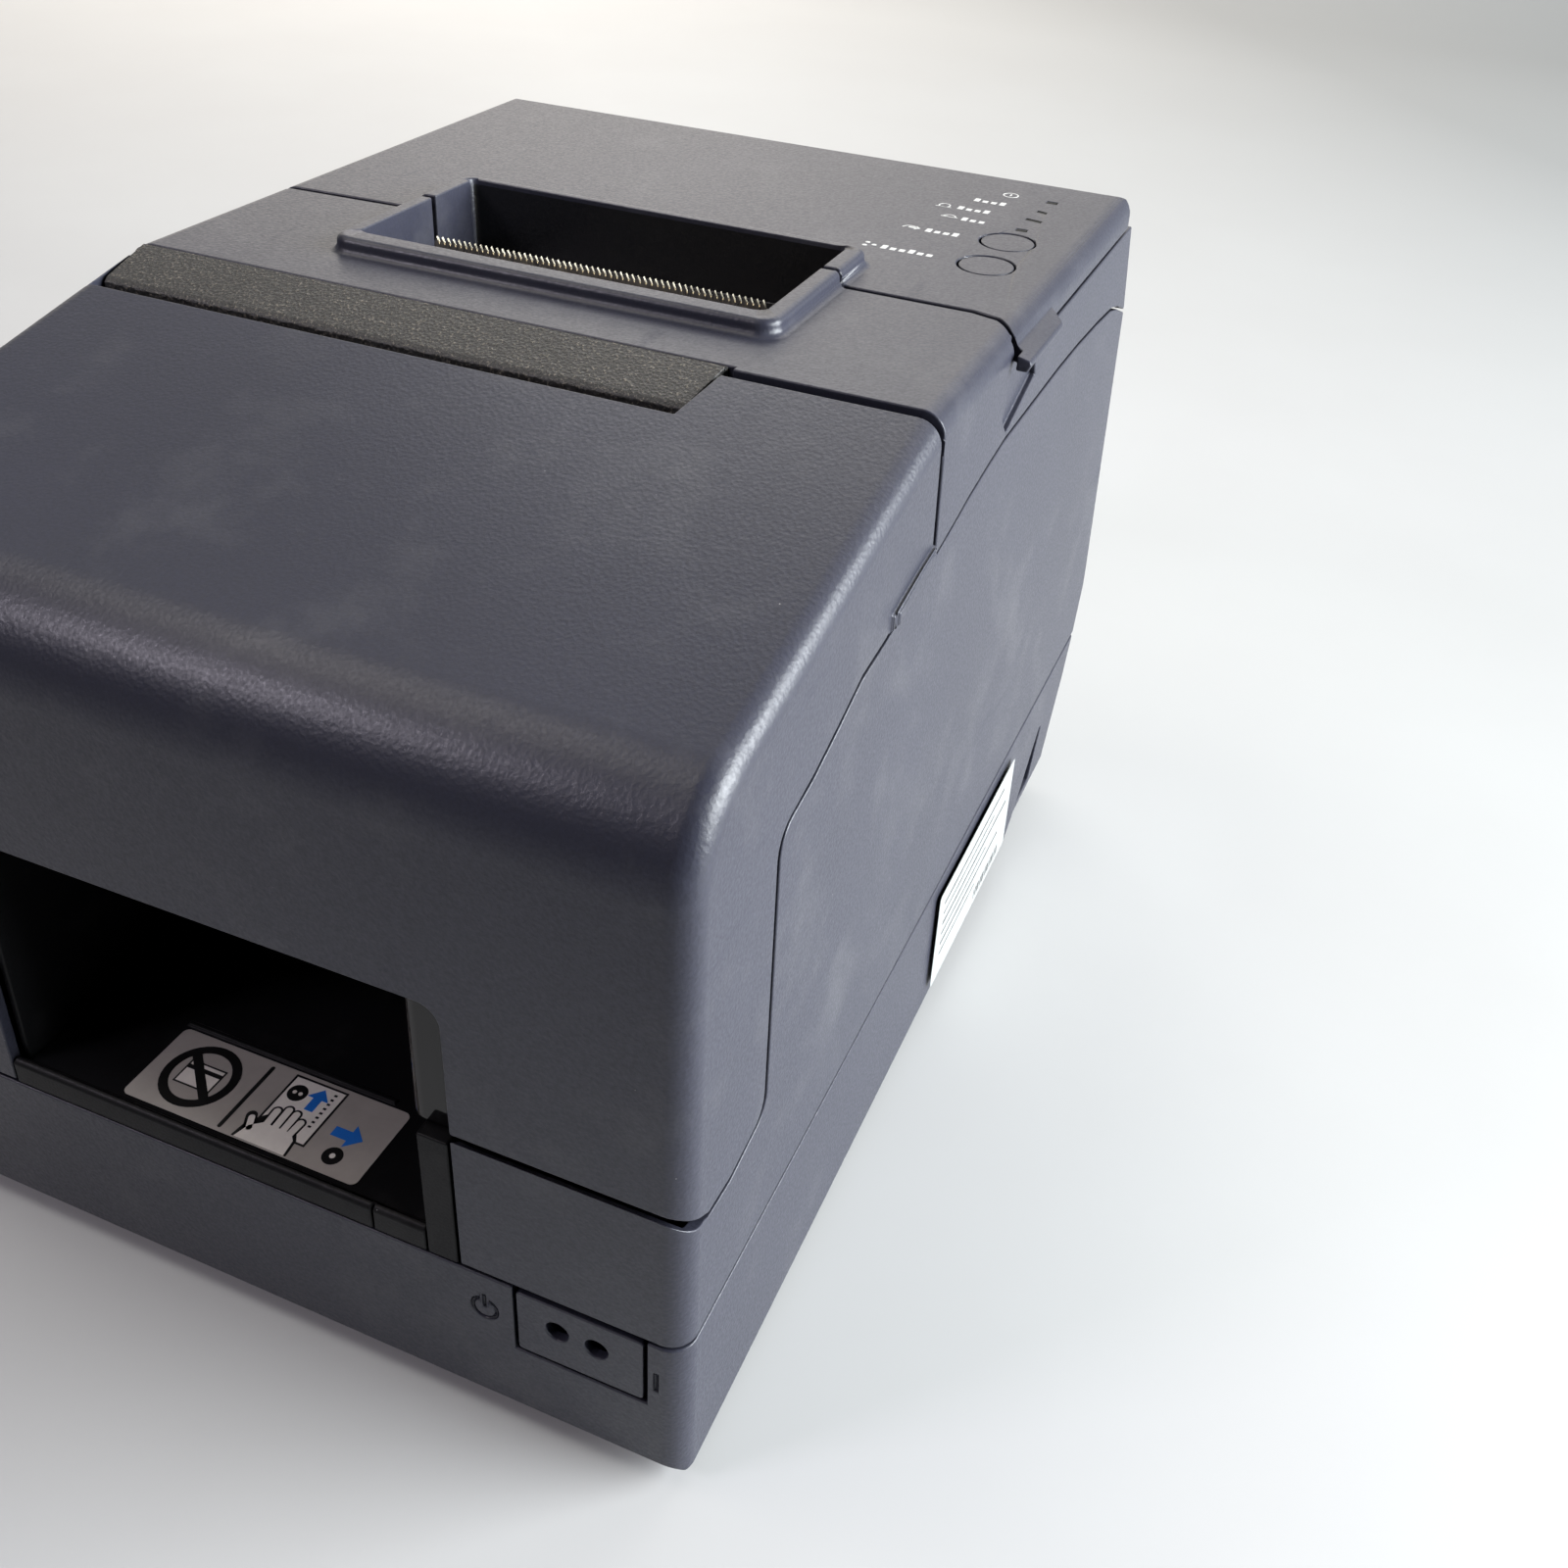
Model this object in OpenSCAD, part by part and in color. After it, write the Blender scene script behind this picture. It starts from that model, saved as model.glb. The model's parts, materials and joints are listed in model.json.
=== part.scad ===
// Hybrid receipt and slip printer. +X is right seen from the front, the front faces -Y, +Z is up.
// The origin is on the floor, at the middle of the footprint.

/* [Housing] */
// Width over the side casings
body_w = 186; // [184:1:188]
// Depth from the front cover to the rear bulge
body_d = 278; // [277:1:280]
// Height of the flat top
top_z = 181; // [180.5:0.5:182]
// Thickness of the moulded walls
wall = 2.5; // [2:0.1:2.8]
// Visible gap between neighbouring casings
seam = 1; // [0.8:0.1:1.2]
// Radius of the long edges between top and sides
edge_r = 5; // [4:0.5:6]

/* [Front cover] */
// Slope of the cover's top, in degrees
cover_slope = 12; // [11:0.5:12.5]
// Radius of the bend from the top into the front
bend_r = 20; // [17:1:22]
// Height of the cut-out's upper edge over the slip slot
slot_top_z = 106.5; // [104:0.5:109]
// Left edge of the slip slot
slot_x0 = -58; // [-59:0.5:-56]
// Right edge of the cut-out
slot_x1 = 47; // [46:0.5:48]

/* [Receipt outlet] */
// Left edge of the outlet's opening
outlet_x0 = -50; // [-51:0.5:-49]
// Right edge of the outlet's opening
outlet_x1 = 46.5; // [46:0.5:48]
// Front edge of the outlet's opening
outlet_y0 = -12; // [-13:0.5:-11]
// Rear edge of the outlet's opening
outlet_y1 = 34; // [33:0.5:35]
// Height of the rim over the flat top
rim_h = 3.5; // [2.5:0.5:4]

/* [Receipt mechanism] */
// Radius of the platen roller's rubber
platen_r = 6.5; // [6:0.1:6.6]

/* [Slip mechanism] */
// Radius of the slip feed rollers
slip_roller_r = 6; // [5.8:0.1:6]
// Radius of the carriage belt pulleys
pulley_r = 5; // [4.5:0.1:5.2]
// Radius of the carriage shaft
shaft_r = 4; // [3:0.5:4]

/* [Panel] */
// Diameter of the feed and release buttons
button_d = 12.6; // [11:0.2:13]
// Travel of the buttons
button_travel = 0.8; // [0.5:0.1:1]

/* [Hidden] */
$fn = 48;

// Teeth of the platen gear, the idler gear, the motor pinions and the slip feed gear
platen_teeth = 16;
idler_teeth = 24;
pinion_teeth = 10;
slip_gear_teeth = 20;

half_w = body_w / 2;
front_y = -body_d / 2;
rear_y = body_d / 2;
inner_w = half_w - wall;
base_z = 3.5;
base_top_z = 41.4;
panel_z = base_top_z + seam;
slope_y = -36;
plastic = [0.2, 0.22, 0.27];
black = [0.04, 0.04, 0.045];
steel = [0.7, 0.7, 0.72];
rubber = [0.08, 0.08, 0.08];
board_green = [0.05, 0.3, 0.15];

// Hinge axes in the side view, as [y, z]
roll_hinge = [rear_y - 20.95, top_z - 3.55];
front_hinge = [front_y + 8, 81];
roll_hinge_r = 1;
front_hinge_r = 1.5;
running_gap = 0.05;

// Receipt print line, slip feed line and carriage line, as [y, z]
platen_yz = [33, 152];
slip_feed_yz = [-84, 41];
slip_pinch_yz = [-84, 53.6];
carriage_yz = [-84, 112];
head_lean = 35;

// Extrudes a side view drawn as (y, z) from x0 to x1
module along_x(x0, x1) {
    translate([x0, 0, 0]) rotate([90, 0, 90]) linear_extrude(x1 - x0) children();
}

// Extrudes a front view drawn as (x, z) from y0 to y1
module along_y(y0, y1) {
    translate([0, y1, 0]) rotate([90, 0, 0]) linear_extrude(y1 - y0) children();
}

// Box from its low corner to its high corner
module span(low, high) {
    translate(low) cube(high - low);
}

// Cylinder along X from x0 to x1, on the axis yz
module rod_x(x0, x1, yz, r) {
    translate([x0, yz[0], yz[1]]) rotate([0, 90, 0]) cylinder(h = x1 - x0, r = r);
}

// Cylinder along Z from z0 to z1, on the axis xy
module rod_z(z0, z1, xy, r) {
    translate([xy[0], xy[1], z0]) cylinder(h = z1 - z0, r = r);
}

// Both sides of the printer
module both_sides() {
    children();
    mirror([1, 0, 0]) children();
}

// Rectangle with true round corners
module round_rect(low, high, r) {
    translate([low[0] + r, low[1]]) square([high[0] - low[0] - 2 * r, high[1] - low[1]]);
    translate([low[0], low[1] + r]) square([high[0] - low[0], high[1] - low[1] - 2 * r]);
    for (x = [low[0] + r, high[0] - r], y = [low[1] + r, high[1] - r])
        translate([x, y]) circle(r);
}

// Points of an arc about centre c
function arc(c, r, a0, a1, n = 10) =
    [for (i = [0 : n]) let (a = a0 + (a1 - a0) * i / n) c + r * [cos(a), sin(a)]];

// Gear outline with slim straight teeth, so that meshed teeth keep clear of each other
module gear_2d(teeth, m) {
    pitch_r = teeth * m / 2;
    step = 360 / teeth;
    root = step * 0.23;
    tip = step * 0.1;
    polygon([for (i = [0 : teeth - 1]) each [
        (pitch_r - 1.15 * m) * [cos(i * step - root), sin(i * step - root)],
        (pitch_r + 0.85 * m) * [cos(i * step - tip), sin(i * step - tip)],
        (pitch_r + 0.85 * m) * [cos(i * step + tip), sin(i * step + tip)],
        (pitch_r - 1.15 * m) * [cos(i * step + root), sin(i * step + root)]]]);
}

// Coil spring along Z, standing on z = 0
module coil_spring(r, wire_r, height, turns) {
    sides = 8;
    steps = 16 * turns;
    ring = function (i) let (a = 360 * turns * i / steps, z = wire_r + (height - 2 * wire_r) * i / steps)
        [for (j = [0 : sides - 1]) let (b = 360 * j / sides, q = r + wire_r * cos(b))
            [q * cos(a), q * sin(a), z + wire_r * sin(b)]];
    points = [for (i = [0 : steps]) each ring(i)];
    tube = [for (i = [0 : steps - 1], j = [0 : sides - 1]) let (k = (j + 1) % sides)
        each [[i * sides + j, i * sides + k, (i + 1) * sides + k],
            [i * sides + j, (i + 1) * sides + k, (i + 1) * sides + j]]];
    start = [for (j = [0 : sides - 1]) sides - 1 - j];
    finish = [for (j = [0 : sides - 1]) steps * sides + j];
    polyhedron(points, concat(tube, [start, finish]));
}

// ---- Housing outlines, as (y, z) ----

// Height of the front cover's sloping top at y, moved inwards by inset
function slope_z(y, inset = 0) = top_z - 0.4 - inset / cos(cover_slope) + (y - slope_y) * tan(cover_slope);

// Centre of the bend between the front cover's top and front
bend_y = front_y + bend_r;
bend_z = slope_z(bend_y, bend_r);

// Front cover's top and front, moved inwards by inset, from the rear edge to the lower front
function cover_line(inset) = concat(
    [[slope_y + 0.5, slope_z(slope_y + 0.5, inset)]],
    arc([bend_y, bend_z], bend_r - inset, 90 + cover_slope, 180, 14),
    [[front_y + inset, 60]]);

// Lower edge of the front cover's sides and upper edge of the side casings, moved down by drop
function parting(drop) = concat(
    [[front_y - 1, 77.8 - drop], [front_y, 76.9 - drop], [front_y + 8, 71.6 - drop]],
    [[front_y + 17, 70.8 - drop]],
    [for (p = arc([front_y + 26, 77.6], 5.4, -90, 0, 5)) p + drop * [0.85, -0.7]],
    [for (p = arc([front_y + 37.4, 131], 6, 180, 100, 5)) p + drop * [0.9, -0.6]],
    [[-93, 138.9 - drop], [-83, 142 - drop], [-71.5, 146 - drop], [-60, 147 - drop]],
    [[-34, 150.8 - drop]]);

// Lower edge of the upper casing's arms
function arm_line(drop) = [[-33, 151 - drop], [-21, 153 - drop], [-12, 154.7 - drop], [1, 156.4 - drop],
    [12, 157.5 - drop], [57, 157.5 - drop], [75, 156.9 - drop], [96, 155.5 - drop],
    [112, 153.9 - drop], [rear_y - 18, 151.5 - drop], [rear_y - 8, 147.5 - drop]];

// Upper casing's rear edge in the plan view, as (x, y), moved to the rear by shift
function top_seam(shift) = [[-half_w - 1, 14.5 + shift], [outlet_x0 - 4, 16.4 + shift],
    [outlet_x1 + 5, 18.2 + shift], [half_w - 12, 18 + shift], [half_w - 6, 16.4 + shift],
    [half_w - 2, 12.6 + shift], [half_w + 1, 11 + shift]];

// Section across the printer, as (x, z), with rounded upper edges
module loaf_section(inset, top) {
    w = half_w - inset;
    r = edge_r - inset * 0.8;
    translate([-w, 0]) square([2 * w, top - r]);
    translate([r - w, 0]) square([2 * (w - r), top]);
    for (s = [-1, 1]) translate([s * (w - r), top - r]) circle(r);
}

// Front and rear corners of the housing seen from above
module plan(inset) {
    round_rect([-half_w + inset, front_y + inset], [half_w - inset, rear_y + 4], edge_r - inset / 2);
}

// ---- Base ----

screw_x = 66;
screw_ys = [-60, 68];
foot_x = 78;
foot_ys = [-122, 60];
foot_r = 7;
switch_low = [57.7, 23.7];
switch_high = [85.3, base_top_z + 0.1];

function base_outline(inset, top) = [[front_y + inset, base_z + 3],
    [front_y + 2.5 + inset * 0.4, base_z + inset],
    [74, base_z + inset], [82, 8 + inset], [rear_y - 26 - inset * 0.5, 8 + inset],
    [rear_y - 11 - inset, 30], [rear_y - 5.5 - inset, top], [front_y + inset, top]];

module base_casing() {
    floor_t = wall + 0.5;
    color(plastic) difference() {
        union() {
            difference() {
                intersection() {
                    along_x(-half_w, half_w) polygon(base_outline(0, base_top_z));
                    linear_extrude(50) plan(0);
                }
                along_x(-inner_w, inner_w) polygon(base_outline(floor_t, base_top_z + 1));
            }
            base_tongue(36, base_top_z, wall - 0.1);
            base_tongue(base_top_z - 0.1, base_top_z + 2.4, wall + 0.25);
            screw_posts(base_z + 1, 12, 4.5);
        }
        screw_posts(base_z - 1, 13, 1.7);
        screw_posts(base_z - 1, 6.5, 3.8);
        span([switch_low[0], front_y - 1, switch_low[1]], [switch_high[0], front_y + 5, switch_high[1]]);
        span([slot_x0 - 4, front_y - 1, base_top_z], [slot_x1 + 2, front_y + 9, 50]);
        span([-76, 101, 11], [76, rear_y, 50]);
        both_sides() along_x(80, half_w + 1) polygon([[84, 10], [103, 25.5], [105.5, 24.5], [97, 10]]);
        power_mark([51.5, 32]);
        span([86.7, front_y - 1, 28.6], [87.5, front_y + 0.4, 33.6]);
    }
}

// Rim that stands up inside the side casings
module base_tongue(z0, z1, inset) {
    intersection() {
        translate([0, 0, z0]) linear_extrude(z1 - z0) difference() {
            plan(inset);
            plan(4);
        }
        span([-half_w, front_y, z0 - 1], [half_w, rear_y - 14, z1 + 1]);
    }
}

module screw_posts(z0, z1, r) {
    for (s = [-1, 1], y = screw_ys) rod_z(z0, z1, [s * screw_x, y], r);
}

// Engraved on and off ring beside the switch
module power_mark(centre) {
    stroke = 0.6;
    along_y(front_y - 1, front_y + 0.4) translate(centre) {
        difference() {
            circle(2.9);
            circle(2.9 - stroke);
            translate([-1.1, 0.5]) square([2.2, 4]);
        }
        translate([-stroke / 2, 0.4]) square([stroke, 3.4]);
    }
}

module rubber_feet() {
    color(rubber) for (s = [-1, 1], y = foot_ys) {
        rod_z(0.6, base_z, [s * foot_x, y], foot_r);
        rod_z(0, 0.7, [s * foot_x, y], foot_r - 0.6);
    }
}

module casing_screws() {
    color(steel) difference() {
        union() {
            screw_posts(4, 6.4, 3.5);
            screw_posts(6.3, 24, 1.45);
        }
        for (s = [-1, 1], y = screw_ys) {
            span([s * screw_x - 2.4, y - 0.4, 3], [s * screw_x + 2.4, y + 0.4, 5.2]);
            span([s * screw_x - 0.4, y - 2.4, 3], [s * screw_x + 0.4, y + 2.4, 5.2]);
        }
    }
}

// ---- Side and rear casings ----

module casing_blank() {
    drop = seam + 0.2;
    line = concat(parting(drop), arm_line(seam / 2 + 0.3),
        [[rear_y - 7.9, 146.5], [rear_y, 58], [rear_y - 5.2, panel_z], [front_y - 1, panel_z]]);
    difference() {
        intersection() {
            along_x(-half_w, half_w) polygon(line);
            linear_extrude(200) plan(0);
        }
        span([-inner_w, front_y + wall, 0], [inner_w, rear_y + 10, 200]);
        span([slot_x0, front_y - 1, 0], [slot_x1, front_y + 9, 200]);
        rod_x(-half_w - 1, half_w + 1, front_hinge, 9.9);
    }
}

// Bracket that carries a front cover pin, reached from behind and below
module pin_bracket() {
    foot_y = front_hinge[0] + 5;
    difference() {
        union() {
            rod_x(84, 87.2, front_hinge, 4);
            along_x(84, 87.2) translate(front_hinge) rotate(-50) translate([0, -2.5]) square([13, 5]);
            span([84, foot_y, 60], [87.2, foot_y + 8, 72]);
            span([84, foot_y, 60], [inner_w + 0.1, foot_y + 8, 68.8]);
        }
        rod_x(83, 88, front_hinge, front_hinge_r);
    }
}

module right_side_casing() {
    color(plastic) {
        intersection() {
            casing_blank();
            span([0, front_y - 1, 0], [half_w + 1, rear_y + 1, 200]);
        }
        pin_bracket();
    }
}

module left_side_casing() {
    color(plastic) {
        intersection() {
            casing_blank();
            span([-half_w - 1, front_y - 1, 0], [0, rear_y + 1, 200]);
        }
        mirror([1, 0, 0]) pin_bracket();
    }
}

module rear_casing() {
    outer = [[rear_y - 5.2, panel_z], [rear_y, 58], [rear_y - 7.9, 146.5]];
    inner = [for (i = [2 : -1 : 0]) outer[i] - [wall, 0]];
    color(plastic) difference() {
        along_x(0.1 - inner_w, inner_w - 0.1) polygon(concat(outer, inner));
        along_y(100, rear_y + 1) round_rect([-76, 30], [76, 60], 4);
    }
}

// ---- Receipt outlet shared by the upper casing and the roll cover ----

rim_low = [outlet_x0 - 4, outlet_y0 - 5.5];
rim_high = [outlet_x1 + 4.5, outlet_y1 + 3];
rim_corner_r = 4.5;
rim_edge_r = 1.5;
rim_foot_r = 1.7;

// Section of the rim's outer edge, as (outwards, z), with a rounded top and a soft foot
module rim_edge() {
    polygon(concat([[0.1 - rim_corner_r, top_z - 0.5], [0.1 - rim_corner_r, top_z + rim_h]],
        arc([-rim_edge_r, top_z + rim_h - rim_edge_r], rim_edge_r, 90, 0, 5),
        arc([rim_foot_r, top_z + rim_foot_r], rim_foot_r, 180, 270, 5),
        [[rim_foot_r, top_z - 0.5]]));
}

module rim_surround() {
    low = rim_low + rim_corner_r * [1, 1];
    high = rim_high - rim_corner_r * [1, 1];
    along_x(low[0], high[0]) {
        translate([rim_high[1], 0]) rim_edge();
        translate([rim_low[1], 0]) mirror([1, 0]) rim_edge();
    }
    along_y(low[1], high[1]) {
        translate([rim_high[0], 0]) rim_edge();
        translate([rim_low[0], 0]) mirror([1, 0]) rim_edge();
    }
    for (x = [low[0], high[0]], y = [low[1], high[1]])
        translate([x, y, 0]) rotate_extrude() translate([rim_corner_r, 0]) rim_edge();
}

module outlet_blank() {
    rim_surround();
    translate([0, 0, top_z - wall]) linear_extrude(wall + rim_h)
        round_rect(rim_low + rim_edge_r * [1, 1], rim_high - rim_edge_r * [1, 1], rim_corner_r - rim_edge_r);
    translate([0, 0, top_z - 15]) linear_extrude(15)
        round_rect([outlet_x0 - 1.8, outlet_y0 - 1.8], [outlet_x1 + 1.8, outlet_y1 + 1.8], 3);
}

module outlet_void() {
    translate([0, 0, top_z - 13]) linear_extrude(30)
        round_rect([outlet_x0, outlet_y0], [outlet_x1, outlet_y1], 1.6);
}

// Everything in front of the seam on top
module before_seam(shift) {
    linear_extrude(300) polygon(concat([[half_w + 2, -200], [-half_w - 2, -200]], top_seam(shift)));
}

// Ends of the tab on the roll cover, and the lower edge of the cover's sides
tab_y = [10.8, 41];
cover_low_z = 2 * roll_hinge[1] - top_z;

module upper_casing() {
    arms = concat(arm_line(0), [[rear_y - 8, 147.5], [rear_y - 16.2, top_z - 8.2], [-34.4, top_z - 8.2]]);
    color(plastic) difference() {
        union() {
            intersection() {
                difference() {
                    along_y(slope_y + 1, rear_y) loaf_section(0, top_z);
                    along_y(slope_y, rear_y + 1) loaf_section(wall, top_z - wall);
                }
                union() {
                    along_x(-half_w - 1, half_w + 1) polygon(arms);
                    intersection() {
                        span([-half_w - 1, slope_y + 1.2, top_z - 8.3], [half_w + 1, 30, top_z + 1]);
                        before_seam(0);
                    }
                }
            }
            intersection() {
                outlet_blank();
                before_seam(0);
            }
            rear_top_wall();
            both_sides() hinge_bracket();
        }
        outlet_void();
        span([-half_w + 2.4, slope_y, 160], [50, slope_y + 2.6, top_z + 1]);
        // Shallow relief for the finger that lifts the cover's tab
        along_x(half_w - 1.4, half_w + 1)
            polygon([[11, 180], [26, 180], [32, 164.5], [12, 158.5], [7.5, 163]]);
    }
}

// Wall that closes the back under the roll cover
module rear_top_wall() {
    along_x(-inner_w - 0.1, inner_w + 0.1) polygon([[rear_y - 8, 147.5], [rear_y - 16.2, top_z - 8.2],
        [rear_y - 18.4, top_z - 8.2], [rear_y - 10.6, 148.6]]);
}

// Bracket that carries a roll cover pin, reached from in front and below
module hinge_bracket() {
    difference() {
        union() {
            along_x(86, inner_w - 0.2) translate(roll_hinge) {
                circle(2.2);
                rotate(225) translate([0, -1.2]) square([13, 2.4]);
            }
            along_x(86, inner_w + 0.1) translate(roll_hinge - [10, 12]) square([5, 6]);
        }
        rod_x(85, 90, roll_hinge, roll_hinge_r);
    }
}

module slip_exit_guide() {
    color(black) difference() {
        along_x(-90.2, 48.6) polygon([[-33.5, top_z - 0.1], [-45.4, 177.2], [-46.5, 176.2],
            [-46.6, 160], [-45, 160], [-45, 173.4], [-33.5, 178.2]]);
        translate([0, 0, 150]) linear_extrude(50) polygon([[44.8, -51], [48.1, -34], [52, -34], [52, -51]]);
    }
}

// Bent strip screwed to the outlet's front wall, with its teeth standing in the opening
module tear_bar() {
    teeth = 58;
    x0 = -34.5;
    pitch = 1.36;
    x1 = x0 + teeth * pitch;
    back = outlet_y0 + 0.1;
    edge = outlet_y0 + 5.6;
    sheet = 0.6;
    root_z = 182.8;
    color("silver") {
        along_x(x0, x1) polygon([[back, 170], [back + sheet, 170], [back + sheet, 175.4],
            [edge + sheet, 175.4], [edge + sheet, root_z], [edge, root_z], [edge, 176], [back, 176]]);
        along_y(edge, edge + sheet)
            polygon(concat([[x1, root_z - 1], [x0, root_z - 1]],
                [for (i = [0 : teeth - 1]) each [[x0 + i * pitch, root_z], [x0 + (i + 0.5) * pitch, 184.4]]],
                [[x1, root_z]]));
    }
}

// ---- Slip entry ----

tray_z = 46.5;
feed_shaft_r = 3;
pinch_shaft_r = 2;

module slip_tray() {
    color(black) difference() {
        union() {
            span([slot_x0 + 2, front_y + 1, tray_z - 2], [39.6, -72, tray_z]);
            along_x(slot_x0 + 0.4, 39.6) polygon([[front_y, base_top_z + 0.6], [front_y, 47.2],
                [front_y + 0.8, 48], [front_y + 1.6, 48], [front_y + 2.6, tray_z - 0.5],
                [front_y + 2.6, base_top_z + 0.6]]);
            span([-34, -115.4, tray_z - 0.1], [17, -114.2, tray_z + 0.5]);
        }
        span([27.8, front_y - 1, 40], [28.2, front_y + 1.2, 50]);
        for (x = [-30, 20]) span([x - 7, -91.5, 40], [x + 7, -76.5, 50]);
    }
}

module slip_frame() {
    color(black) difference() {
        union() {
            // Left wall of the recess, with a lug for the feed shaft
            span([slot_x0 + 0.3, front_y + 3, panel_z], [slot_x0 + 1.9, -75, 105.6]);
            span([slot_x0 - 1.8, -90, 34], [slot_x0 + 1.9, -78, 43]);
            // Right wall, lower in front where the entry guide stands, with its lug
            span([40, front_y + 0.4, panel_z], [42, -106, 74]);
            span([40, -106.1, panel_z], [42, -75, 105.6]);
            span([40, -90, 34], [42, -78, 43]);
            // Post beside the right casing
            span([40, front_y, base_top_z + 0.6], [slot_x1 - 0.6, front_y + 5, 74]);
            // Ceiling and back of the recess
            span([slot_x0 - 1.8, front_y + 5, 104], [42, -93, 105.6]);
            span([slot_x0 - 1.8, -95, 60.5], [42, -93.4, 105.6]);
        }
        rod_x(slot_x0 - 3, 43, slip_feed_yz, feed_shaft_r + running_gap);
        rod_x(slot_x0 - 3, 43, slip_pinch_yz, pinch_shaft_r + running_gap);
    }
}

// Block with a rounded corner that leads the slip in, behind the cover's right edge
module entry_guide() {
    left = 36.2;
    right = slot_x1 - 0.6;
    front = front_y + 3.1;
    back = -106.2;
    round = 4;
    color(black) translate([0, 0, 74.1]) linear_extrude(29.8) {
        translate([left + round, front + round]) circle(round);
        translate([left + round, front]) square([right - left - round, back - front]);
        translate([left, front + round]) square([right - left, back - front - round]);
    }
}

// Guide that turns the slip from the tray up to the exit behind the ribbon
module slip_guide() {
    path_r = 24;
    centre = [-72, tray_z + path_r];
    color(steel) difference() {
        along_x(-76, 60) polygon(concat(arc(centre, path_r, -88, 0, 12), [[-48, 158]],
            [[-46.8, 158]], arc(centre, path_r + 1.2, 0, -88, 12)));
        span([-66, -50, 121.5], [56, -44, 134.5]);
    }
}

module slip_platen() {
    color(steel) {
        span([-65, -48, 122], [55, -44, 134]);
        span([-86.4, -44, 120], [86.4, -42.5, 136]);
    }
}

// ---- Frame, boards and connectors ----

module main_frame() {
    plate = [[-100, 45], [112, 45], [112, 120], [90, 146], [20, 146], [0, 138], [-3, 138],
        [-5, 158.6], [-21, 158.6], [-23, 138], [-96, 138], [-100, 130]];
    color(steel) {
        difference() {
            both_sides() along_x(86.5, 88) polygon(plate);
            rod_x(-90, 90, carriage_yz, shaft_r + 0.02);
            for (y = [-20, 20, 60]) rod_x(-90, 90, [y, 100], 9);
            span([-90, -60, 60], [90, -40, 80]);
        }
        difference() {
            span([-86.6, -62, 44.5], [86.6, 96, 46]);
            for (x = [-40, 0, 40], y = [-20, 30]) rod_z(40, 50, [x, y], 10);
        }
        difference() {
            screw_posts(12, 44.6, 4);
            screw_posts(11, 30, 1.5);
        }
        // Bracket for the receipt gears and motor
        difference() {
            span([52, 12, 45.9], [53.5, 54, 142]);
            rod_x(51, 54, receipt_pinion_yz, 6);
        }
        rod_x(46.4, 52.1, receipt_idler_yz, 2);
        // Carriage rail, motor shelf and idler shelf
        span([-86.6, -74, 104.6], [86.6, -66, 105.8]);
        difference() {
            span([-86.6, -108, 106.1], [-62, -84, 107.3]);
            rod_z(105, 109, [-pulley_x, belt_y], 3);
        }
        span([62, -106, 105], [86.6, -86, 106.2]);
        rod_z(106, 115, [pulley_x, belt_y], 1.5);
    }
}

module roll_bucket() {
    color(black) difference() {
        union() {
            span([-43, 33, 82], [43, 120, 148]);
            for (s = [-1, 1], y = [56, 88]) rod_z(46, 83, [s * 30, y], 4);
        }
        span([-41, 35, 100], [41, 118, 150]);
        rod_x(-41, 41, [76.5, 126], 41.5);
        span([-44, 30, 122], [44, 38, 150]);
    }
}

standoff_ys = [-58, 66];

module main_board() {
    color(board_green) {
        difference() {
            span([-60, -66, 12], [60, 98, 13.6]);
            for (s = [-1, 1], y = standoff_ys) rod_z(11, 15, [s * 55, y], 1.6);
        }
        span([-20, -20, 13.5], [12, 12, 16]);
        span([20, 30, 13.5], [48, 42, 18]);
        for (i = [0 : 3]) rod_z(13.5, 26, [-48, -40 + 20 * i], 5);
        for (i = [0 : 2]) span([30, -60 + 16 * i, 13.5], [38, -50 + 16 * i, 21]);
        for (s = [-1, 1], y = standoff_ys) tube_z(base_z + wall + 0.5, 12.1, [s * 55, y], 3.2, 1.6);
    }
}

module tube_z(z0, z1, xy, r, bore) {
    difference() {
        rod_z(z0, z1, xy, r);
        rod_z(z0 - 1, z1 + 1, xy, bore);
    }
}

panel_y = 100;
socket_z = 26;

module interface_panel() {
    color(steel) difference() {
        span([-74, panel_y, 11.2], [74, panel_y + 1.2, 62]);
        for (x = socket_xs) span([x - 8.5, panel_y - 1, socket_z - 8], [x + 8.5, panel_y + 2, socket_z + 8]);
        along_y(panel_y - 1, panel_y + 2) for (x = [-66, 66]) translate([x, socket_z]) circle(1.6);
    }
}

socket_xs = [-50, -24, 2, 40];

module connector_sockets() {
    color(black) difference() {
        for (x = socket_xs)
            span([x - 8.3, panel_y - 10, socket_z - 7.8], [x + 8.3, panel_y + 4, socket_z + 7.8]);
        for (x = socket_xs)
            span([x - 6.3, panel_y - 4, socket_z - 5.8], [x + 6.3, panel_y + 5, socket_z + 5.8]);
    }
}

module thumb_screws() {
    color(steel) for (x = [-66, 66]) along_y_screw(x);
}

module along_y_screw(x) {
    along_y(panel_y - 6, panel_y + 1.3) translate([x, socket_z]) circle(1.5);
    along_y(panel_y + 1.2, panel_y + 6) translate([x, socket_z]) circle(4);
}

module flat_cable() {
    color([0.85, 0.85, 0.8]) along_x(12, 30)
        polygon([[96.5, 13.6], [98, 13.6], [98, 81.5], [97.6, 81.5], [97.6, 14], [96.5, 14]]);
}

// ---- Receipt mechanism ----

receipt_idler_yz = platen_yz - [0, (platen_teeth + idler_teeth) / 2 + 0.15];
receipt_pinion_yz = receipt_idler_yz - [0, (idler_teeth + pinion_teeth) / 2 + 0.15];

// Frame of the print head: local -Y points from the platen to the head
module at_head() {
    translate([0, platen_yz[0], platen_yz[1]]) rotate([head_lean, 0, 0]) children();
}

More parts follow.
